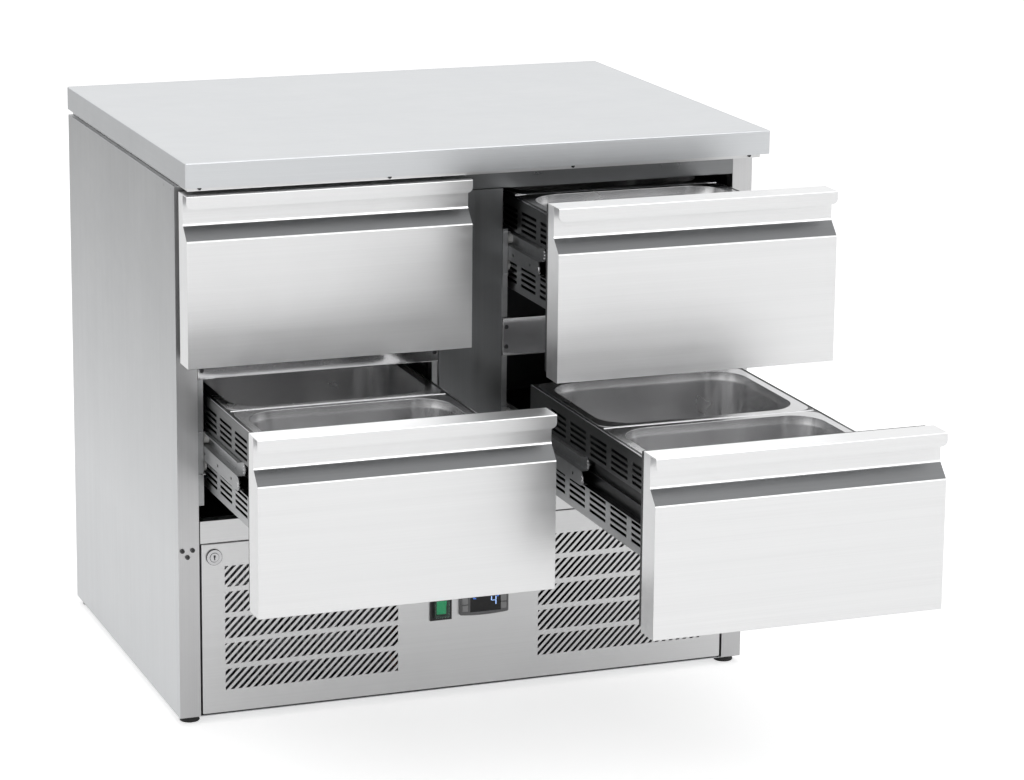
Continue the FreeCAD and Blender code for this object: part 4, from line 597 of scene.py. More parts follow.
def lit(name, tint, strength):
    """The glow of a digit behind its dark window, weaker at its edges."""
    tree, shader, place = new_material(name)
    grain = use_group(tree, "moulded_grain", place, Size=900.0)
    colour = blend_colours(tree, grain["Cloud"], shaded(tint, 0.75), shaded(tint, 1.0))
    put(tree, shader, {
        "Base Color": colour, "Emission Color": colour, "Emission Strength": strength,
        "Roughness": spread(tree, grain["Cloud"], 0, 1, 0.3, 0.4)})


def make_finishes():
    make_brushed_lines()
    make_handling_marks()
    make_moulded_grain()
    steels = bpy.context.scene.counter_steel
    controls = bpy.context.scene.counter_controls
    along_x, along_y, along_z = (3, 620, 620), (620, 3, 620), (620, 620, 3)
    steel("worktop_steel", steels.worktop_tint, 0.33, along_x, 0.04)
    steel("front_steel", steels.front_tint, 0.34, along_x, 0.03)
    # Casing sides: painted reflection, darker towards the top
    steel("casing_steel", steels.casing_tint, 0.36, along_z, 0.05, painted_reflection_fade=(0.45, 0.25, 0.8, 2))
    steel("post_steel", steels.post_tint, 0.34, along_z, 0.04)
    # Painted shade: the top rail, the mullion and the grip slopes use the low tint for the shade behind the
    # fronts
    steel("rail_steel", steels.shade_behind_fronts_tint, 0.30, along_x, 0.05)
    steel("frame_steel", steels.shade_behind_fronts_tint, 0.33, along_z, 0.05)
    steel("grip_painted_shade", steels.shade_behind_fronts_tint, 0.32, along_x, 0.05)
    steel("panel_steel", steels.panel_tint, 0.36, along_x, 0.03)
    steel("bright_steel", (0.50, 0.50, 0.505), 0.07, along_x, 0.04, 0.05, 0.3)
    # Painted shade: the liner is near black for the shade inside the cabinet
    steel("liner_steel", steels.liner_shade_tint, 0.45, (40, 40, 40), 0.06)
    # Painted shade: a darker copy of the worktop's steel for its two ends
    steel("worktop_side_painted_shade", shaded(steels.worktop_tint, 0.72)[:3], 0.33, along_y, 0.04)
    # Baskets: painted reflection, darker towards the top of each side, repeated for every basket
    steel("basket_steel", (0.50, 0.505, 0.51), 0.34, along_y, 0.06, painted_reflection_fade=(0.62, 0.118, 0.160, 0.266))
    steel("zinc_steel", steels.runner_tint, 0.38, (90, 90, 90), 0.1)
    steel("pan_steel", steels.pan_tint, 0.24, (50, 50, 50), 0.03, 0.04, 0.2)
    steel("galvanised_steel", (0.50, 0.51, 0.52), 0.45, (60, 60, 60), 0.12)
    steel("fin_aluminium", (0.68, 0.69, 0.70), 0.4, along_z, 0.08)
    steel("chrome", (0.60, 0.60, 0.61), 0.12, (200, 200, 200), 0.03, 0.05, 0.1)
    steel("screw_steel", (0.50, 0.50, 0.51), 0.18, (300, 300, 300), 0.1)
    # Near-black steel, used only to paint shade and dark reflections into recesses, gaps and hidden sides
    steel("painted_shade_steel", (0.06, 0.06, 0.062), 0.35, (300, 300, 300), 0.2)
    plastic("black_plastic", (0.016, 0.016, 0.017), 0.38)
    plastic("bezel_plastic", (0.20, 0.20, 0.205), 0.48)
    plastic("button_plastic", (0.42, 0.42, 0.425), 0.55)
    plastic("grey_plastic", (0.28, 0.29, 0.30), 0.5)
    plastic("white_plastic", (0.72, 0.72, 0.70), 0.4)
    plastic("window_plastic", (0.004, 0.004, 0.005), 0.08, 400.0, 0.02)
    plastic("green_plastic", tuple(controls.rocker_tint), 0.25, 800.0, 0.05)
    plastic("black_rubber", (0.018, 0.018, 0.018), 0.62, 900.0)
    plastic("gasket_rubber", (0.022, 0.022, 0.024), 0.5, 700.0)
    plastic("black_paint", (0.013, 0.013, 0.014), 0.3, 260.0, 0.12)
    copper("copper")
    foam("foam")
    clear_plastic("clear_plastic")
    lit("lit_digit", tuple(controls.glow_tint), 1.3)
    lit("lit_sign", (0.08, 0.22, 0.75), 0.6)


# Worktop and casing


class COUNTER_OT_worktop(bpy.types.Operator):
    """Bend the worktop out of one sheet, open underneath round its core"""
    bl_idname = "counter.worktop"
    bl_label = "Worktop"

    def execute(self, context):
        steel_look = context.scene.counter_steel
        low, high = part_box("worktop_shell")
        top = add_block("worktop", low, high)
        with editing(top):
            pick(top, "FACE", lambda f: faces(f, -Z))
            inset(0.025)
            bpy.ops.mesh.delete(type="FACE")
            pick(top, "EDGE", lambda e: runs(e, Z) or near(middle(e).z, high.z))
            bevel(steel_look.bend, 4)
        use_modifier(top, "SOLIDIFY", thickness=steel_look.sheet, offset=-1)
        finish(top, "cabinet", "worktop_steel", "worktop_steel", "worktop_shell")
        # Painted shade on the worktop's two ends
        paint_where(top, "worktop_side_painted_shade", lambda p, n: abs(n.x) > 0.9)
        dress("worktop_core", "foam")
        return {"FINISHED"}


def soft_sheet(node, material, slot, width):
    piece = merged_copy(node, node + "_bent")
    round_bends(piece, width)
    return finish(piece, "cabinet", material, slot, node)


class COUNTER_OT_casing(bpy.types.Operator):
    """Round the bends of the casing, its rails and posts, and finish the back"""
    bl_idname = "counter.casing"
    bl_label = "Casing"

    def execute(self, context):
        bend = context.scene.counter_steel.bend
        soft_sheet("top_tray", "panel_steel", "front_steel", bend * 0.7)
        left = merged_copy("left_side_casing", "left_side_casing_bent")
        round_bends(left, bend)
        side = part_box("left_side_casing")[0].x
        radius, centre, height = 0.005, side - 0.0042, 0.799
        for place in (-0.234, -0.271):
            carve(left, add_ball("dimple", (centre, place, height), radius))
        finish(left, "cabinet", "casing_steel", "casing_steel", "left_side_casing")
        right = soft_sheet("right_side_casing", "casing_steel", "casing_steel", bend)
        for casing in (left, right):
            paint_where(casing, "post_steel", lambda p, n: (
                p.y < POST_PLANE + 0.021 and abs(p.x) < -side - bend))
        soft_sheet("top_rail", "rail_steel", "casing_steel", bend)
        self.add_base_rail(bend)
        soft_sheet("mullion", "frame_steel", "casing_steel", bend)
        soft_sheet("crossbars", "bright_steel", "bright_steel", bend * 0.6)
        for node, material in (
            ("back_casing", "galvanised_steel"), ("base_tray", "galvanised_steel"),
            ("inner_liner", "liner_steel"), ("insulation", "foam"), ("cable_gland", "black_plastic"),
        ):
            dress(node, material)
        self.add_louvres(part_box("back_casing")[1].y)
        return {"FINISHED"}

    def add_base_rail(self, bend):
        """The rail between its joints with the posts, whose sides get painted shade."""
        rail = merged_copy("base_rail", "base_rail_bent")
        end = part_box("machine_panel")[1].x + 0.003
        joint, front, deep, foot, top = 0.0015, -0.2885, -0.2872, 0.2735, 0.3085
        for side in (-1, 1):
            low, high = sorted((side * (end - joint), side * end))
            carve(rail, add_block("joint", (low, front, foot), (high, deep, top)))
        round_bends(rail, bend)
        finish(rail, "cabinet", "panel_steel", "casing_steel", "base_rail")
        # Painted shade on the sides of the two joints
        paint_where(rail, "painted_shade_steel", lambda p, n: (
            end - joint - 0.0001 < abs(p.x) < end + 0.0001 and -0.28795 < p.y < deep + 0.0001))

    def add_louvres(self, face):
        """Pressed hoods over the slots of the back."""
        half, rise, foot, top = 0.092, 0.003, 0.064, 0.072
        hood = add_block("louvre", (-half, face, foot), (half, face + rise, top))
        with editing(hood):
            pick(hood, "EDGE", lambda e: near(middle(e).y, face + rise) and middle(e).z > top - 0.0005)
            bevel(0.0029, 4)
            pick(hood, "EDGE", lambda e: near(abs(middle(e).x), half) and middle(e).y > face + 0.001)
            bevel(0.002, 2)
        pitch_x, pitch_z = 0.24, 0.02
        hoods = [copied(hood, "louvre", (column * pitch_x, 0, row * pitch_z))
                 for column in (-1, 0, 1) for row in range(8)]
        drop(hood)
        finish(joined("louvres", hoods), "cabinet", "galvanised_steel", "casing_steel")


# Drawers


def make_front():
    """One drawer front at the place of the top left one."""
    size = bpy.context.scene.counter_drawers
    sheet = bpy.context.scene.counter_steel.sheet
    low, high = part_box("top_left_front_shell")
    flat = low.z + size.flat_height
    step = flat + size.chamfer
    lip_low = high.z - size.lip_drop
    top_bend, flat_bend, side_bend, step_bend, seam = 0.0014, 0.0009, 0.0012, 0.003, 0.0008
    front = add_block("drawer_front", low, (high.x, high.y, flat))
    with editing(front):
        pick(front, "FACE", lambda f: faces(f, Z))
        extrude((0, 0, size.chamfer))
        pick(front, "VERT", lambda v: near(v.co.z, step) and near(v.co.y, low.y))
        move((0, size.lip_depth, 0))
        pick(front, "FACE", lambda f: faces(f, Z))
        extrude((0, 0, high.z - step))
        slice_at(Z, high.z - sheet)
        pick(front, "FACE", lambda f: faces(f, -Y) and level(f).z > high.z - sheet)
        extrude((0, -size.lip_depth, 0))
        slice_at(Y, low.y + sheet)
        pick(front, "FACE", lambda f: faces(f, -Z) and level(f).y < low.y + sheet and level(f).z > step)
        extrude((0, 0, lip_low - high.z + sheet))
        # Lip corners, then the long bends
        pick(front, "EDGE", lambda e: runs(e, Y) and near(middle(e).z, lip_low))
        bevel(size.lip_corner, 6)
        pick(front, "EDGE", lambda e: runs(e, X) and near(middle(e).y, low.y) and near(middle(e).z, high.z))
        bevel(top_bend)
        pick(front, "EDGE", lambda e: runs(e, X) and near(middle(e).y, low.y) and
             (near(middle(e).z, flat) or near(middle(e).z, low.z)))
        bevel(flat_bend)
        pick(front, "EDGE", lambda e: runs(e, Z) and near(middle(e).y, low.y) and middle(e).z < flat)
        bevel(side_bend)
        pick(front, "EDGE", lambda e: runs(e, X) and near(middle(e).z, step))
        bevel(step_bend)
        # Groove between the outer sheet and the plate at the back
        pick(front, "FACE", lambda f: faces(f, Y) and near(level(f).y, high.y) and f.calc_area() > 0.01)
        inset(2 * seam)
        inset(seam, -seam)
    return front


class COUNTER_OT_drawer_fronts(bpy.types.Operator):
    """Model one front with its finger lip and copy it to the four drawers"""
    bl_idname = "counter.drawer_fronts"
    bl_label = "Drawer fronts"

    def execute(self, context):
        size = context.scene.counter_drawers
        for drawer, low, _, front in in_drawers(make_front(), "front_shell", "front"):
            finish(front, drawer + "_drawer", "front_steel", "front_steel",
                   drawer + "_front_shell", drawer + "_front_core")
            flat = low.z + size.flat_height
            # Painted shade on the slope under the finger lip
            paint_where(front, "grip_painted_shade", lambda p, n: (
                low.y + 0.001 < p.y < low.y + size.lip_depth - 0.001 and flat < p.z < flat + size.chamfer))
        return {"FINISHED"}


class COUNTER_OT_gaskets(bpy.types.Operator):
    """Round the gasket behind each front"""
    bl_idname = "counter.gaskets"
    bl_label = "Gaskets"

    def execute(self, context):
        first = merged_copy("top_left_gasket", "gasket")
        round_edges(first, 0.0016, 3)
        for drawer, _, _, gasket in in_drawers(first, "gasket", "gasket_rounded"):
            finish(gasket, drawer + "_drawer", "gasket_rubber", "gasket_rubber", drawer + "_gasket")
        return {"FINISHED"}


def make_pan(low, high):
    """A drawn pan with a stacking shoulder and a flat rim, between the corners of its rim."""
    size = bpy.context.scene.counter_drawers
    rim = size.pan_rim
    centre = (low + high) / 2
    top = high.z
    floor = top - size.pan_depth
    shoulder_top, shoulder_foot, wall = top - 0.011, top - 0.014, 0.001
    taper, shoulder_step = (0.965, 0.956, 1), (0.9915, 0.9895, 1)
    pan = add_block("pan", (low.x + rim, low.y + rim, floor), (high.x - rim, high.y - rim, top))
    with editing(pan):
        pick(pan, "FACE", lambda f: faces(f, -Z))
        resize(taper, (centre.x, centre.y, floor))
        pick(pan, "FACE", lambda f: faces(f, Z))
        bpy.ops.mesh.delete(type="ONLY_FACE")
        pick(pan, "EDGE", lambda e: abs(e.verts[0].co.z - e.verts[1].co.z) > 0.05)
        bevel(size.pan_corner, 8)
        pick(pan, "EDGE", lambda e: lies(e, Z, floor))
        bevel(size.pan_floor_round, 4)
        slice_at(Z, shoulder_top)
        slice_at(Z, shoulder_foot)
        pick(pan, "VERT", lambda v: v.co.z < shoulder_foot + 0.0005)
        resize(shoulder_step, centre)
    deselect_all()
    bpy.ops.mesh.primitive_plane_add(size=1, location=(centre.x, centre.y, top))
    bpy.context.active_object.scale = (high.x - low.x, high.y - low.y, 1)
    border = settled("pan_rim")
    with editing(border):
        pick(border, "VERT")
        bevel(size.pan_rim_corner, 8, corners=True)
        pick_all()
        bpy.ops.mesh.delete(type="ONLY_FACE")
    pan = joined("pan", [pan, border])
    with editing(pan):
        pick(pan, "EDGE", lambda e: len(e.link_faces) < 2)
        bpy.ops.mesh.bridge_edge_loops()
        pick_all()
        bpy.ops.mesh.normals_make_consistent(inside=False)
    floor_face = min(pan.data.polygons, key=lambda p: p.center.z)
    if floor_face.normal.z > 0:
        with editing(pan):
            pick_all()
            bpy.ops.mesh.flip_normals()
    use_modifier(pan, "SOLIDIFY", thickness=wall, offset=1)
    with editing(pan):
        pick(pan, "EDGE", lambda e: near(middle(e).z, top, 0.0001) and e.calc_face_angle(0) > 1)
        bevel(0.0004, 2)
    return pan


class COUNTER_OT_pans(bpy.types.Operator):
    """Draw one food pan and copy it to all four drawers"""
    bl_idname = "counter.pans"
    bl_label = "Food pans"

    def execute(self, context):
        low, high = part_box("top_left_pans")
        first = make_pan(low, Vector((high.x, low.y + PAN_WIDTH, high.z)))
        second = high.y - PAN_WIDTH - low.y
        for drawer in DRAWERS:
            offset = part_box(drawer + "_pans")[0] - low
            offset.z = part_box(drawer + "_pans")[1].z - high.z
            for place, step in (("front", 0), ("rear", second)):
                pan = copied(first, f"{drawer}_{place}_pan", offset + Vector((0, step, 0)))
                finish(pan, drawer + "_drawer", "pan_steel", "pan_steel", drawer + "_pans", angle=45)
                low_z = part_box(drawer + "_pans")[1].z - 0.002
                centre = low + offset + Vector((PAN_LENGTH / 2, step + PAN_WIDTH / 2, 0))
                # Painted shade on the outside and underside of each pan below its rim
                paint_where(pan, "painted_shade_steel", lambda p, n: p.z < low_z and
                            (n.z < -0.5 or n.x * (p.x - centre.x) + n.y * (p.y - centre.y) > 0.01))
        drop(first)
        return {"FINISHED"}


def make_slides():
    """The left-hand and right-hand slide of the top left drawer, with holes and rounded ends."""
    low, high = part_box("top_left_slides")
    centre = (low.x + high.x) / 2
    pair = merged_copy("top_left_slides", "slides")
    holes, hole_radius, margin, height = 8, 0.0024, 0.03, low.z + 0.0105
    plates = [(side, centre + side * ((high.x - low.x) / 2 - 0.0063)) for side in (-1, 1)]
    for side, outer in plates:
        for step in range(holes):
            place = low.y + margin + (high.y - low.y - 2 * margin) * step / (holes - 1)
            carve(pair, add_rod("hole", (outer + side * 0.001, place, height),
                                (outer - side * 0.0022, place, height), hole_radius, 16))
    pieces = [pair]
    for side, outer in plates:
        pieces += add_slide_end(outer, side, low.y, low.z)
    return joined("slides", pieces)


def add_slide_end(outer, side, front, base):
    """Two rounded tongues at the front of a slide, with an axle bolt and three rivets."""
    pieces = []
    inner, sheet = outer - side * 0.0096, 0.0012
    # Plate, height over the slide's foot and radius of each tongue
    for plane, height, radius in ((outer, 0.0108, 0.0105), (inner, 0.0309, 0.0098)):
        tongue = add_rod("tongue", (plane, front, base + height),
                         (plane - side * sheet, front, base + height), radius, 40)
        with editing(tongue):
            slice_at(Y, front - 0.0001)
            pick(tongue, "VERT", lambda v: v.co.y > front)
            bpy.ops.mesh.delete(type="VERT")
            pick(tongue, "EDGE", lambda e: len(e.link_faces) < 2)
            bpy.ops.mesh.fill()
        pieces.append(tongue)
    # Plate, step along Y, height, radius and rise of the axle bolt, then of the rivets
    heads = ((outer, -0.0055, 0.0108, 0.0044, 0.0016), (inner, -0.0046, 0.0309, 0.0019, 0.0013),
             (inner, -0.0036, 0.0358, 0.0019, 0.0013), (inner, -0.0036, 0.0260, 0.0019, 0.0013))
    for plane, step, height, radius, proud in heads:
        start = Vector((plane, front + step, base + height))
        head = add_rod("rivet", start, start + Vector((side * proud, 0, 0)), radius, 20)
        with editing(head):
            pick(head, "EDGE", lambda e: near(e.verts[0].co.x, e.verts[1].co.x) and
                 near(middle(e).x, plane + side * proud))
            bevel(proud * 0.7, 3)
        pieces.append(head)
    return pieces


def add_rail_end(edge, side, base):
    """The lower wheel of a fixed rail, and the brackets over and under its two wheels."""
    axle_y, axle_z, wheel_radius, axle_radius = -0.2708, base - 0.0096, 0.0091, 0.003
    reach, arm_front, arm_back, arm_sheet = 0.0152, -0.286, -0.266, 0.001
    tip = edge + side * reach
    wheel = add_rod("wheel", (edge + side * 0.0108, axle_y, axle_z), (tip, axle_y, axle_z), wheel_radius, 40)
    with editing(wheel):
        pick(wheel, "EDGE", lambda e: near(e.verts[0].co.x, e.verts[1].co.x))
        bevel(0.0008, 2)
        pick(wheel, "FACE", lambda f: abs(f.normal.x) > 0.99)
        inset(0.0022, each=True)
        inset(0.0004, -0.0006, each=True)
    brackets = [add_rod("axle", (edge + side * 0.0015, axle_y, axle_z),
                        (edge + side * 0.0154, axle_y, axle_z), axle_radius, 20)]
    for height in (0.0424, -0.0212):
        low, high = sorted((edge + side * 0.0012, tip))
        arm = add_block("arm", (low, arm_front, base + height), (high, arm_back, base + height + arm_sheet))
        with editing(arm):
            pick(arm, "EDGE", lambda e: runs(e, Z) and near(middle(e).x, tip))
            bevel(0.004, 4)
        brackets.append(arm)
    return wheel, brackets


def make_basket_trim():
    """The bottom sheet, the rolled edges and the bar of the top left basket."""
    low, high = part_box("top_left_basket")
    centre = (low.x + high.x) / 2
    middle_y = (low.y + high.y) / 2
    half, gap = BASKET_HALF, 0.0015
    border, slope, rise, hole_radius, edge_radius, bar_radius = 0.022, 0.003, 0.0025, 0.004, 0.0009, 0.0015
    floor = add_block("basket_floor", (centre - half + gap, low.y + gap, low.z + 0.001),
                      (centre + half - gap, high.y - gap, low.z + 0.002))
    with editing(floor):
        pick(floor, "FACE", lambda f: faces(f, Z) or faces(f, -Z))
        inset(border, each=True)
        inset(slope, each=True)
        move((0, 0, rise))
    for place in (-0.2, 0, 0.2):
        for side in (-0.09, 0.09):
            spot = Vector((centre + side, middle_y + place, low.z))
            carve(floor, add_rod("drain_hole", spot, spot + Vector((0, 0, 0.01)), hole_radius, 20))
    pieces = [floor]
    for side in (-1, 1):
        x = centre + side * (half - 0.0005)
        pieces.append(add_rod("rolled_edge", (x, low.y + 0.001, high.z), (x, high.y - 0.001, high.z),
                              edge_radius, 16))
    pieces.append(add_rod("bar", (centre - half + 0.006, middle_y, high.z),
                          (centre + half - 0.006, middle_y, high.z), bar_radius, 16))
    for rod in pieces[1:]:
        round_edges(rod, 0.0003, 2, 60)
    return joined("basket_trim", pieces)


class COUNTER_OT_runners(bpy.types.Operator):
    """Finish the baskets, and model the ends, wheels and rivets of their runners"""
    bl_idname = "counter.runners"
    bl_label = "Baskets and runners"

    def execute(self, context):
        for drawer, low, high, slides in in_drawers(make_slides(), "slides", "slides_riveted"):
            finish(slides, drawer + "_slide_pair", "zinc_steel", "zinc_steel", drawer + "_slides")
            centre = (low.x + high.x) / 2
            half = (high.x - low.x) / 2

            def slide_roller(p, n):
                """Whether a face is on the rear roller, low outside, or the front one, high inside."""
                inward = half - abs(p.x - centre)
                rear = p.y > high.y - ROLLER_SPAN and p.z < low.z + 0.0198 and inward < 0.0062
                front = low.y < p.y < low.y + ROLLER_SPAN and p.z > low.z + 0.0222 and inward > 0.0172
                return rear or front

            paint_where(slides, "white_plastic", slide_roller)
            paint_where(slides, "chrome", lambda p, n: p.y < low.y - 0.0015 and abs(n.x) < 0.98)
            self.dress_basket(drawer, centre, half, low.z)
        for drawer, low, _, trim in in_drawers(make_basket_trim(), "basket", "basket_trim"):
            finish(trim, drawer + "_drawer", "chrome", "bright_steel")
            # Painted shade on the basket's bottom sheet
            paint_where(trim, "painted_shade_steel", lambda p, n: p.z < low.z + 0.006)
        self.add_rail_ends()
        return {"FINISHED"}

    def dress_basket(self, drawer, centre, half, base):
        """Outside light, with painted shade inside and a painted dark reflection on its rim, and white
        wheels.
        """
        node = drawer + "_basket"
        basket = frame["nodes"][node]
        low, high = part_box(node)
        dress(node, "basket_steel")
        # Painted shade inside the basket and a painted dark reflection on its top rim
        paint_where(basket, "painted_shade_steel", lambda p, n: (
            abs(p.x - centre) < BASKET_HALF - 0.0008 and low.z + 0.0005 < p.z < high.z - 0.0102
            or n.z > 0.9 and p.z > high.z - 0.0005 and abs(p.y - (low.y + high.y) / 2) > 0.02))
        paint_where(basket, "white_plastic", lambda p, n: (
            p.y > high.y - ROLLER_SPAN and 0.007 < half - abs(p.x - centre) < 0.0165
            and base < p.z < base + 0.021))

    def add_rail_ends(self):
        frames = frame["nodes"]["runner_frames"]
        dress("runner_frames", "zinc_steel")
        # The upright that each rail is fixed to, and the side its wheels are on
        edges = ((-0.418, 1), (-0.05, -1), (0.05, 1), (0.418, -1))
        paint_where(frames, "white_plastic", lambda p, n: (
            0.0107 < min(abs(p.x - edge) for edge, side in edges) < 0.019 and -0.2805 < p.y < -0.2612))
        wheels, brackets = [], []
        for drawer in ("top_left", "bottom_left"):
            for edge, side in edges:
                wheel, rest = add_rail_end(edge, side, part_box(drawer + "_slides")[0].z)
                wheels.append(wheel)
                brackets += rest
        finish(joined("rail_wheels", wheels), "cabinet", "white_plastic", "white_plastic")
        finish(joined("rail_brackets", brackets), "cabinet", "chrome", "zinc_steel")


# Screws, feet and lock


def make_screw(name, plane, radius, proud):
    """A screw head that looks along -Y, with a cross cut into it."""
    face = plane - proud
    screw = add_rod(name, (0, plane, 0), (0, face, 0), radius, 28)
    with editing(screw):
        pick(screw, "EDGE", lambda e: lies(e, Y, face))
        bevel(proud * 0.75, 4)
    size = radius * 1.15
    for wide, tall in ((size, size * 0.24), (size * 0.24, size)):
        carve(screw, add_block("recess", (-wide / 2, face - 0.001, -tall / 2),
                               (wide / 2, face + 0.001, tall / 2)))
    return screw


class COUNTER_OT_fasteners(bpy.types.Operator):
    """Model one screw of each kind and set the eighteen of them"""
    bl_idname = "counter.fasteners"
    bl_label = "Screws"

    def execute(self, context):
        # For each kind: its plane, radius and how far it stands out, then where it sits
        places = {
            "post_screw": ((POST_PLANE, 0.0034, 0.0022), [
                (side * (0.436 + shift), height)
                for side in (-1, 1) for shift, height in ((-0.00775, 0.266), (0.00775, 0.266), (0, 0.256))]),
            "strip_screw": ((-0.3315, 0.0026, 0.0022), [
                (side * place, 0.81) for side in (-1, 1) for place in (0.1415, 0.4245)]),
            "crossbar_screw": ((POST_PLANE, 0.0034, 0.00015), [
                (side * place, height) for side in (-1, 1) for place in (0.0565, 0.4115)
                for height in (0.534, 0.564)]),
        }
        screws = []
        for name, ((plane, radius, proud), spots) in places.items():
            first = make_screw(name, plane, radius, proud)
            screws += [copied(first, name, (x, 0, z)) for x, z in spots]
            drop(first)
        heads = finish(joined("screw_heads", screws), "cabinet", "screw_steel", "bright_steel")
        centres = [(x, z, kind[1]) for kind, spots in places.values() for x, z in spots]
        # Painted shade in each head's cross recess and middle
        paint_where(heads, "painted_shade_steel", lambda p, n: any(
            math.hypot(p.x - x, p.z - z) < radius * 0.72 and p.y < POST_PLANE for x, z, radius in centres))
        # Painted shade: the CAD screws under the new heads are near black, so what shows round the heads is
        # dark
        dress("frame_screws", "painted_shade_steel")
        return {"FINISHED"}


class COUNTER_OT_feet(bpy.types.Operator):
    """Turn one grooved foot and copy it to the four corners"""
    bl_idname = "counter.feet"
    bl_label = "Feet"

    def execute(self, context):
        low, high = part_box("feet")
        radius, grooves = 0.015, ((0.0035, 0.0045), (0.0055, 0.0065))
        first = add_rod("foot", (0, 0, low.z), (0, 0, high.z), radius, 40)
        with editing(first):
            pick(first, "EDGE", lambda e: lies(e, Z, low.z))
            bevel(0.0015, 3)
            for groove in grooves:
                for height in groove:
                    slice_at(Z, height)
            pick(first, "FACE", lambda f: any(foot < level(f).z < top for foot, top in grooves))
            resize((0.95, 0.95, 1), (0, 0, 0))
        feet = [copied(first, "foot", (x, y, 0)) for x in (low.x + radius, high.x - radius)
                for y in (low.y + radius, high.y - radius)]
        drop(first)
        finish(joined("feet_turned", feet), "cabinet", "black_rubber", "black_rubber", "feet")
        return {"FINISHED"}


def soft_part(node, material, slot, body, width, segments=2):
    piece = merged_copy(node, node + "_rounded")
    round_edges(piece, width, segments)
    return finish(piece, body, material, slot, node)


class COUNTER_OT_lock(bpy.types.Operator):
    """Round the lock's ring and its core"""
    bl_idname = "counter.lock"
    bl_label = "Lock"

    def execute(self, context):
        low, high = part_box("lock_body")
        x, z, rim = (low.x + high.x) / 2, (low.z + high.z) / 2, 0.0108
        ring = soft_part("lock_body", "chrome", "chrome", "machine_panel", 0.0013, 4)
        # Painted shade on the ring's side wall, outside its face
        paint_where(ring, "painted_shade_steel", lambda p, n: math.hypot(p.x - x, p.z - z) > rim)
        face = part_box("lock_cylinder")[0].y
        core = merged_copy("lock_cylinder", "lock_cylinder_rounded")
        round_edges(core, 0.0003)
        # Width, foot and top of the wide and of the narrow part of the keyway
        for wide, start, end in ((0.0030, 0.0002, 0.0034), (0.0018, -0.0038, 0.0004)):
            carve(core, add_block("keyway", (x - wide / 2, face - 0.001, z + start),
                                  (x + wide / 2, face + 0.002, z + end)))
        finish(core, "lock_cylinder", "chrome", "chrome", "lock_cylinder")
        # Painted shade in the keyway
        paint_where(core, "painted_shade_steel", lambda p, n: abs(p.x - x) < 0.0016 and abs(p.z - z) < 0.0039
                    and face + 0.0001 < p.y < face + 0.004)
        return {"FINISHED"}


# Machine panel and controls


class COUNTER_OT_machine_panel(bpy.types.Operator):
    """Lengthen the machine panel to its rail and round its bends"""
    bl_idname = "counter.machine_panel"
    bl_label = "Machine panel"

    def execute(self, context):
        panel = merged_copy("machine_panel", "machine_panel_bent")
        top, sheet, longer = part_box("machine_panel")[1].z, 0.0013, 0.0011
        with editing(panel):
            pick(panel, "VERT", lambda v: v.co.z > top - sheet)
            move((0, 0, longer))
        round_bends(panel, context.scene.counter_steel.bend * 0.8)
        finish(panel, "machine_panel", "panel_steel", "front_steel", "machine_panel")
        return {"FINISHED"}


class COUNTER_OT_switch(bpy.types.Operator):
    """Round the switch and put the clear cap over its rocker"""
    bl_idname = "counter.switch"
    bl_label = "Switch"

    def execute(self, context):
        soft_part("switch_bezel", "black_plastic", "black_plastic", "machine_panel", 0.0009)
        soft_part("switch_rocker", "green_plastic", "green_plastic", "switch_rocker", 0.0007)
        low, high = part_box("switch_rocker")
        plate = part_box("switch_bezel")[0].y
        centre = (low + high) / 2
        half_x, half_z, face = 0.0118, 0.0155, plate - 0.004
        cap = add_block("switch_cap", (centre.x - half_x, face, centre.z - half_z),
                        (centre.x + half_x, plate + 0.0002, centre.z + half_z))
        with editing(cap):
            pick(cap, "EDGE", lambda e: runs(e, Y))
            bevel(0.003, 3)
            pick(cap, "EDGE", lambda e: lies(e, Y, face))
            bevel(0.0014, 3)
            pick(cap, "FACE", lambda f: faces(f, Y))
            bpy.ops.mesh.delete(type="FACE")
        use_modifier(cap, "SOLIDIFY", thickness=0.0008, offset=-1)
        finish(cap, "machine_panel", "clear_plastic", "green_plastic")
        return {"FINISHED"}


# Corners of each bar of a digit, as shares of its width and height
SEGMENTS = {
    "a": ((0.1, 0.94), (0.9, 1.0)), "g": ((0.1, 0.47), (0.9, 0.53)), "d": ((0.1, 0), (0.9, 0.06)),
    "f": ((0, 0.52), (0.16, 0.98)), "b": ((0.84, 0.52), (1, 0.98)),
    "e": ((0, 0.02), (0.16, 0.48)), "c": ((0.84, 0.02), (1, 0.48)),
}
DIGITS = ("abcdef", "bc", "abged", "abgcd", "fgbc", "afgcd", "afgedc", "abc", "abcdefg", "abcdfg")


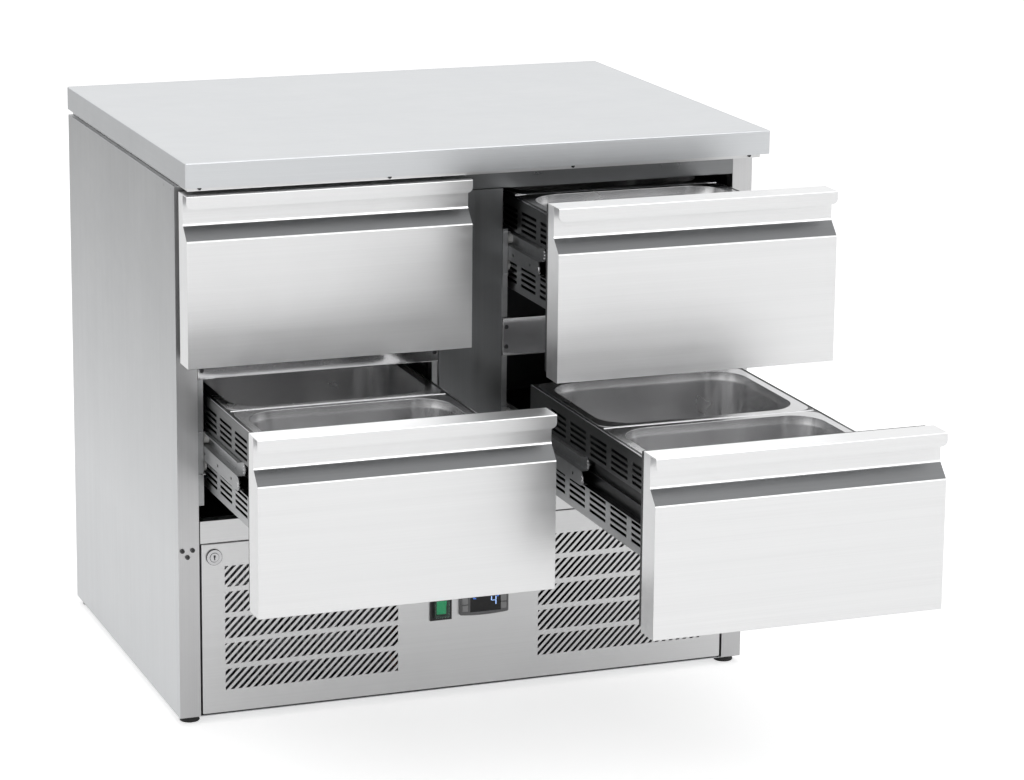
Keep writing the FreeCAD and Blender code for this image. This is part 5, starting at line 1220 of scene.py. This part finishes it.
class COUNTER_OT_controller(bpy.types.Operator):
    """Mould the controller with its window, its lit number and its four keys"""
    bl_idname = "counter.controller"
    bl_label = "Controller"

    def execute(self, context):
        low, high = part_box("controller_bezel")
        back = high.y
        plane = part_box("machine_panel")[0].y
        face = low.y
        bezel = add_block("controller_frame", low, (high.x, plane, high.z))
        centre = (low.x + high.x) / 2
        half = (high.x - low.x) / 2
        steps, bow, margin = 8, 0.0022, 0.004
        with editing(bezel):
            for step in range(1, steps):
                slice_at(X, low.x + (high.x - low.x) * step / steps)
            for step in range(steps + 1):
                x = low.x + (high.x - low.x) * step / steps
                rise = ((x - centre) / half) ** 2 * bow
                if rise:
                    pick(bezel, "VERT", lambda v: near(v.co.x, x) and near(v.co.z, low.z))
                    move((0, 0, rise))
            pick(bezel, "EDGE", lambda e: runs(e, Y) and near(abs(middle(e).x - centre), half))
            bevel(0.002, 3)
            pick(bezel, "EDGE", lambda e: lies(e, Y, face)
                 and e.calc_face_angle(0) > 0.8)
            bevel(0.0009, 2)
        window_low = Vector((low.x + 0.0164, face, (low.z + high.z) / 2 - 0.0125))
        window_high = window_low + Vector((0.049, 0.0012, 0.025))
        carve(bezel, add_block("window_room", window_low - Vector((0, 0.001, 0)), window_high))
        for name in KEYS:
            key_low, key_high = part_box(name)
            gap = Vector((0.0003, 0, 0.0003))
            carve(bezel, add_block("key_room", key_low - gap - Vector((0, 0.001, 0)),
                                   (key_high.x + gap.x, plane + 0.0002, key_high.z + gap.z)))
        shell = add_block("controller_shell", (low.x + margin, plane, low.z + margin),
                          (high.x - margin, back, high.z - margin))
        with editing(shell):
            pick(shell, "EDGE", lambda e: runs(e, Y))
            bevel(0.001, 2)
        bezel = joined("controller_moulding", [bezel, shell])
        finish(bezel, "machine_panel", "bezel_plastic", "grey_plastic", "controller_bezel")
        gap, sunk = 0.0002, 0.0005
        pane = add_block("controller_window", window_low + Vector((gap, sunk, gap)),
                         window_high - Vector((gap, 0, gap)))
        with editing(pane):
            pick(pane, "EDGE", lambda e: lies(e, Y, face + sunk))
            bevel(0.0003, 2)
        finish(pane, "machine_panel", "window_plastic", "black_plastic")
        self.add_digit(context.scene.counter_controls.reading, window_low, face + 0.0004)
        for name in KEYS:
            self.add_key(name)
        return {"FINISHED"}

    def add_digit(self, reading, corner, plane):
        """A seven-part digit near the window's right end, and two small signs over it."""
        origin = corner + Vector((0.0335, 0, 0.009))
        width, height, thickness = 0.0085, 0.0135, 0.0004
        bars = []
        for part in DIGITS[reading]:
            (left, bottom), (right, top) = SEGMENTS[part]
            bars.append(add_block(
                "bar", (origin.x + left * width, plane, origin.z + bottom * height),
                (origin.x + right * width, plane + thickness, origin.z + top * height)))
        digit = joined("display_digit", bars)
        with editing(digit):
            pick(digit, "EDGE", lambda e: runs(e, Y))
            bevel(0.0003, 1)
            slice_at(Z, origin.z)
        finish(digit, "machine_panel", "lit_digit", "white_plastic")
        signs = []
        for x, z, size in ((0.006, 0.0215, 0.0016), (0.0085, 0.0208, 0.0012), (0.0445, 0.0222, 0.0014)):
            centre = corner + Vector((x, 0, z))
            signs.append(add_rod("sign", (centre.x, plane + thickness, centre.z), (centre.x, plane, centre.z),
                                 size, 6))
        signs = joined("display_signs", signs)
        with editing(signs):
            pick(signs, "FACE", lambda f: faces(f, -Y))
            inset(0.0003, 0.0001, each=True)
        finish(signs, "machine_panel", "lit_sign", "white_plastic")

    def add_key(self, node):
        """A key with three shallow ribs."""
        low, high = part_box(node)
        key = add_block(node + "_ribbed", low, high)
        with editing(key):
            pick(key, "EDGE", lambda e: runs(e, Y))
            bevel(0.0008, 2)
            bands = 6
            for rib in range(1, bands):
                slice_at(Z, low.z + (high.z - low.z) * rib / bands)
            for rib in range(1, bands, 2):
                middle_z = low.z + (high.z - low.z) * (rib - 0.5) / bands
                pick(key, "FACE", lambda f: faces(f, -Y) and near(level(f).z, middle_z, 0.0008))
                inset(0.0003, -0.00015)
        finish(key, node, "button_plastic", "button_plastic", node)


# Cooling unit


def make_fan(centre, end, hub, radius, depth, width, thickness, shaft):
    """Twisted blades round a hub that turns about Y, with its shaft behind."""
    root, steps, blades, root_pitch, untwist = hub * 0.8, 8, 5, 32, 12
    blade = add_block("blade", (root, -thickness / 2, -width / 2), (radius, thickness / 2, width / 2))
    with editing(blade):
        for step in range(1, steps):
            slice_at(X, root + (radius - root) * step / steps)
        for step in range(1, 6):
            slice_at(Z, -width / 2 + width * step / 6)
        for step in range(steps + 1):
            x = root + (radius - root) * step / steps
            pick(blade, "VERT", lambda v: near(v.co.x, x, 0.0001))
            bpy.ops.transform.rotate(value=math.radians(root_pitch - untwist * step / steps), orient_axis="X",
                                     center_override=(x, 0, 0))
        pick(blade, "EDGE", lambda e: lies(e, X, radius)
             and near((e.verts[0].co - e.verts[1].co).length, thickness)
             and abs(middle(e).z) > width * 0.4)
        bevel(width * 0.2, 5)
    round_edges(blade, thickness * 0.25, 2, 50)
    pieces = []
    for number in range(blades):
        duplicate(blade).matrix_world = Matrix.Translation(centre + Vector((0, depth / 2, 0))) @ \
            Matrix.Rotation(math.tau * number / blades, 4, "Y")
        pieces.append(settled("blade"))
    drop(blade)
    cup = add_rod("hub", centre + Vector((0, depth, 0)), centre, hub, 40)
    with editing(cup):
        pick(cup, "EDGE", lambda e: lies(e, Y, centre.y))
        bevel(depth * 0.25, 4)
        pick(cup, "FACE", lambda f: faces(f, -Y) and near(level(f).y, centre.y))
        inset(hub * 0.3)
        inset(hub * 0.08, -depth * 0.12)
    pin = add_rod("shaft", centre + Vector((0, depth, 0)), (centre.x, end, centre.z), shaft, 20)
    with editing(pin):
        pick(pin, "EDGE", lambda e: lies(e, Y, end))
        bevel(shaft * 0.2, 2)
    return joined("fan", [cup, pin] + pieces)


class COUNTER_OT_cooling_unit(bpy.types.Operator):
    """Finish the compressor, the coils, the pipes and the two fans"""
    bl_idname = "counter.cooling_unit"
    bl_label = "Cooling unit"

    def execute(self, context):
        for node, material in (
            ("compressor", "black_paint"), ("condenser", "fin_aluminium"), ("evaporator", "fin_aluminium"),
            ("evaporator_cover", "white_plastic"), ("pipework", "copper"),
            ("electrical_box", "grey_plastic"), ("evaporation_tray", "black_plastic"),
        ):
            dress(node, material)
        # The axle's place first, then the sizes that make_fan takes
        for node, x, z, hub, radius, depth, width, thickness, shaft in (
            ("condenser_fan", -0.25, 0.1112, 0.028, 0.086, 0.025, 0.042, 0.0016, 0.004),
            ("evaporator_fan", 0.234, 0.661, 0.016, 0.048, 0.010, 0.018, 0.0012, 0.002),
        ):
            low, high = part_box(node)
            fan = make_fan(Vector((x, low.y, z)), high.y, hub, radius, depth, width, thickness, shaft)
            finish(fan, node, "black_plastic", "black_plastic", node)
        return {"FINISHED"}


# Stage


def add_lamp(name, place, target, size, power):
    deselect_all()
    place, target = Vector(place), Vector(target)
    bpy.ops.object.light_add(type="AREA", location=place,
                             rotation=(target - place).to_track_quat("-Z", "Y").to_euler())
    lamp = bpy.context.active_object
    lamp.name = name
    lamp.data.shape = "RECTANGLE"
    lamp.data.size, lamp.data.size_y = size
    lamp.data.energy = power


def background_ray(tree):
    """1 for the rays that show the background: to the camera, in metal and through glass."""
    path = tree.nodes.new("ShaderNodeLightPath")
    seen = maths(tree, "MAXIMUM", path.outputs["Is Camera Ray"], path.outputs["Is Glossy Ray"])
    return maths(tree, "MAXIMUM", seen, path.outputs["Is Transmission Ray"])


class COUNTER_OT_stage(bpy.types.Operator):
    """Set the camera, the white floor and the soft studio light"""
    bl_idname = "counter.stage"
    bl_label = "Stage"

    def execute(self, context):
        stage = context.scene.counter_stage
        context.scene.view_settings.view_transform = "Standard"
        self.add_camera(context, stage)
        self.add_floor(stage)
        self.add_world(context)
        # Place, what it points at, width and height, and power in watts
        add_lamp("key_lamp", (1.2, -4.2, 2.8), (0.2, -1.4, 0), (2.4, 1.8), 30)
        add_lamp("fill_lamp", (-3.4, -2.6, 2.2), (0, 0, 0.4), (2.2, 2.2), 6)
        add_lamp("top_lamp", (0, 0.4, 3.6), (0, 0, 0.8), (2.6, 2.6), 10)
        return {"FINISHED"}

    def add_camera(self, context, stage):
        deselect_all()
        bpy.ops.object.camera_add()
        camera = context.active_object
        camera.name = "camera"
        # The camera that was fitted to the photograph
        right = Vector((0.9361553, -0.35145979, 0.00944866))
        up = Vector((0.06914612, 0.21039544, 0.97516797))
        back = Vector((-0.34472029, -0.91225532, 0.22126488))
        turn = Matrix((right, up, back)).transposed().to_4x4()
        camera.matrix_world = Matrix.Translation((-1.72786, -5.03228, 1.7552)) @ turn
        camera.data.lens = stage.lens
        camera.data.sensor_width = 36
        camera.data.shift_y = -0.0879
        camera.data.clip_end = 200
        context.scene.camera = camera

    def add_floor(self, stage):
        deselect_all()
        bpy.ops.mesh.primitive_plane_add(size=60, location=(0, 0, 0))
        floor = settled("studio_floor")
        material = bpy.data.materials.new("studio_floor")
        material.use_nodes = True
        tree = material.node_tree
        shader = tree.nodes["Principled BSDF"]
        put(tree, shader, {
            "Base Color": shaded(stage.floor_tint, 1), "Roughness": 0.9, "Specular IOR Level": 0.1})
        # The floor glows for the camera, and a little in metal, so that it stays white round its shadow
        path = tree.nodes.new("ShaderNodeLightPath")
        white = tree.nodes.new("ShaderNodeEmission")
        put(tree, white, {"Strength": weighted(
            tree, path.outputs["Is Camera Ray"], 0.6, path.outputs["Is Glossy Ray"], 0.24)})
        both = tree.nodes.new("ShaderNodeAddShader")
        put(tree, both, {0: shader.outputs["BSDF"], 1: white.outputs["Emission"]})
        put(tree, tree.nodes["Material Output"], {"Surface": both.outputs["Shader"]})
        give(floor, material)

    def add_world(self, context):
        world = bpy.data.worlds.new("studio")
        context.scene.world = world
        world.use_nodes = True
        tree = world.node_tree
        light = tree.nodes["Background"]
        put(tree, light, {"Color": (1, 1, 1, 1), "Strength": 0.6})
        white = tree.nodes.new("ShaderNodeBackground")
        put(tree, white, {"Color": (1, 1, 1, 1), "Strength": 1})
        choice = tree.nodes.new("ShaderNodeMixShader")
        put(tree, choice, {
            "Fac": background_ray(tree), 1: light.outputs["Background"], 2: white.outputs["Background"]})
        put(tree, tree.nodes["World Output"], {"Surface": choice.outputs["Shader"]})


# Panel and start


PIECES = (
    COUNTER_OT_stage, COUNTER_OT_worktop, COUNTER_OT_casing, COUNTER_OT_drawer_fronts,
    COUNTER_OT_gaskets, COUNTER_OT_pans, COUNTER_OT_runners, COUNTER_OT_fasteners, COUNTER_OT_feet,
    COUNTER_OT_machine_panel, COUNTER_OT_lock, COUNTER_OT_switch, COUNTER_OT_controller,
    COUNTER_OT_cooling_unit,
)


class COUNTER_PT_pieces(bpy.types.Panel):
    """The settings and the pieces of the counter"""
    bl_idname = "COUNTER_PT_pieces"
    bl_label = "Refrigerated counter"
    bl_space_type = "VIEW_3D"
    bl_region_type = "UI"
    bl_category = "Counter"

    def draw(self, context):
        scene = context.scene
        for settings in (scene.counter_steel, scene.counter_drawers, scene.counter_controls,
                         scene.counter_stage):
            box = self.layout.box()
            for name in settings.bl_rna.properties.keys():
                if name not in ("rna_type", "name"):
                    box.prop(settings, name)
        for piece in PIECES:
            self.layout.operator(piece.bl_idname)


SETTINGS = {
    "counter_steel": SteelSettings,
    "counter_drawers": DrawerSettings,
    "counter_controls": ControlSettings,
    "counter_stage": StageSettings,
}


def register():
    for group in SETTINGS.values():
        bpy.utils.register_class(group)
    for name, group in SETTINGS.items():
        setattr(bpy.types.Scene, name, PointerProperty(type=group))
    for piece in PIECES:
        bpy.utils.register_class(piece)
    bpy.utils.register_class(COUNTER_PT_pieces)


def unregister():
    bpy.utils.unregister_class(COUNTER_PT_pieces)
    for piece in reversed(PIECES):
        bpy.utils.unregister_class(piece)
    for name in SETTINGS:
        delattr(bpy.types.Scene, name)
    for group in SETTINGS.values():
        bpy.utils.unregister_class(group)


def main():
    register()
    make_finishes()
    for piece in PIECES:
        getattr(bpy.ops.counter, piece.bl_idname.split(".")[1])()


if __name__ == "__main__":
    main()
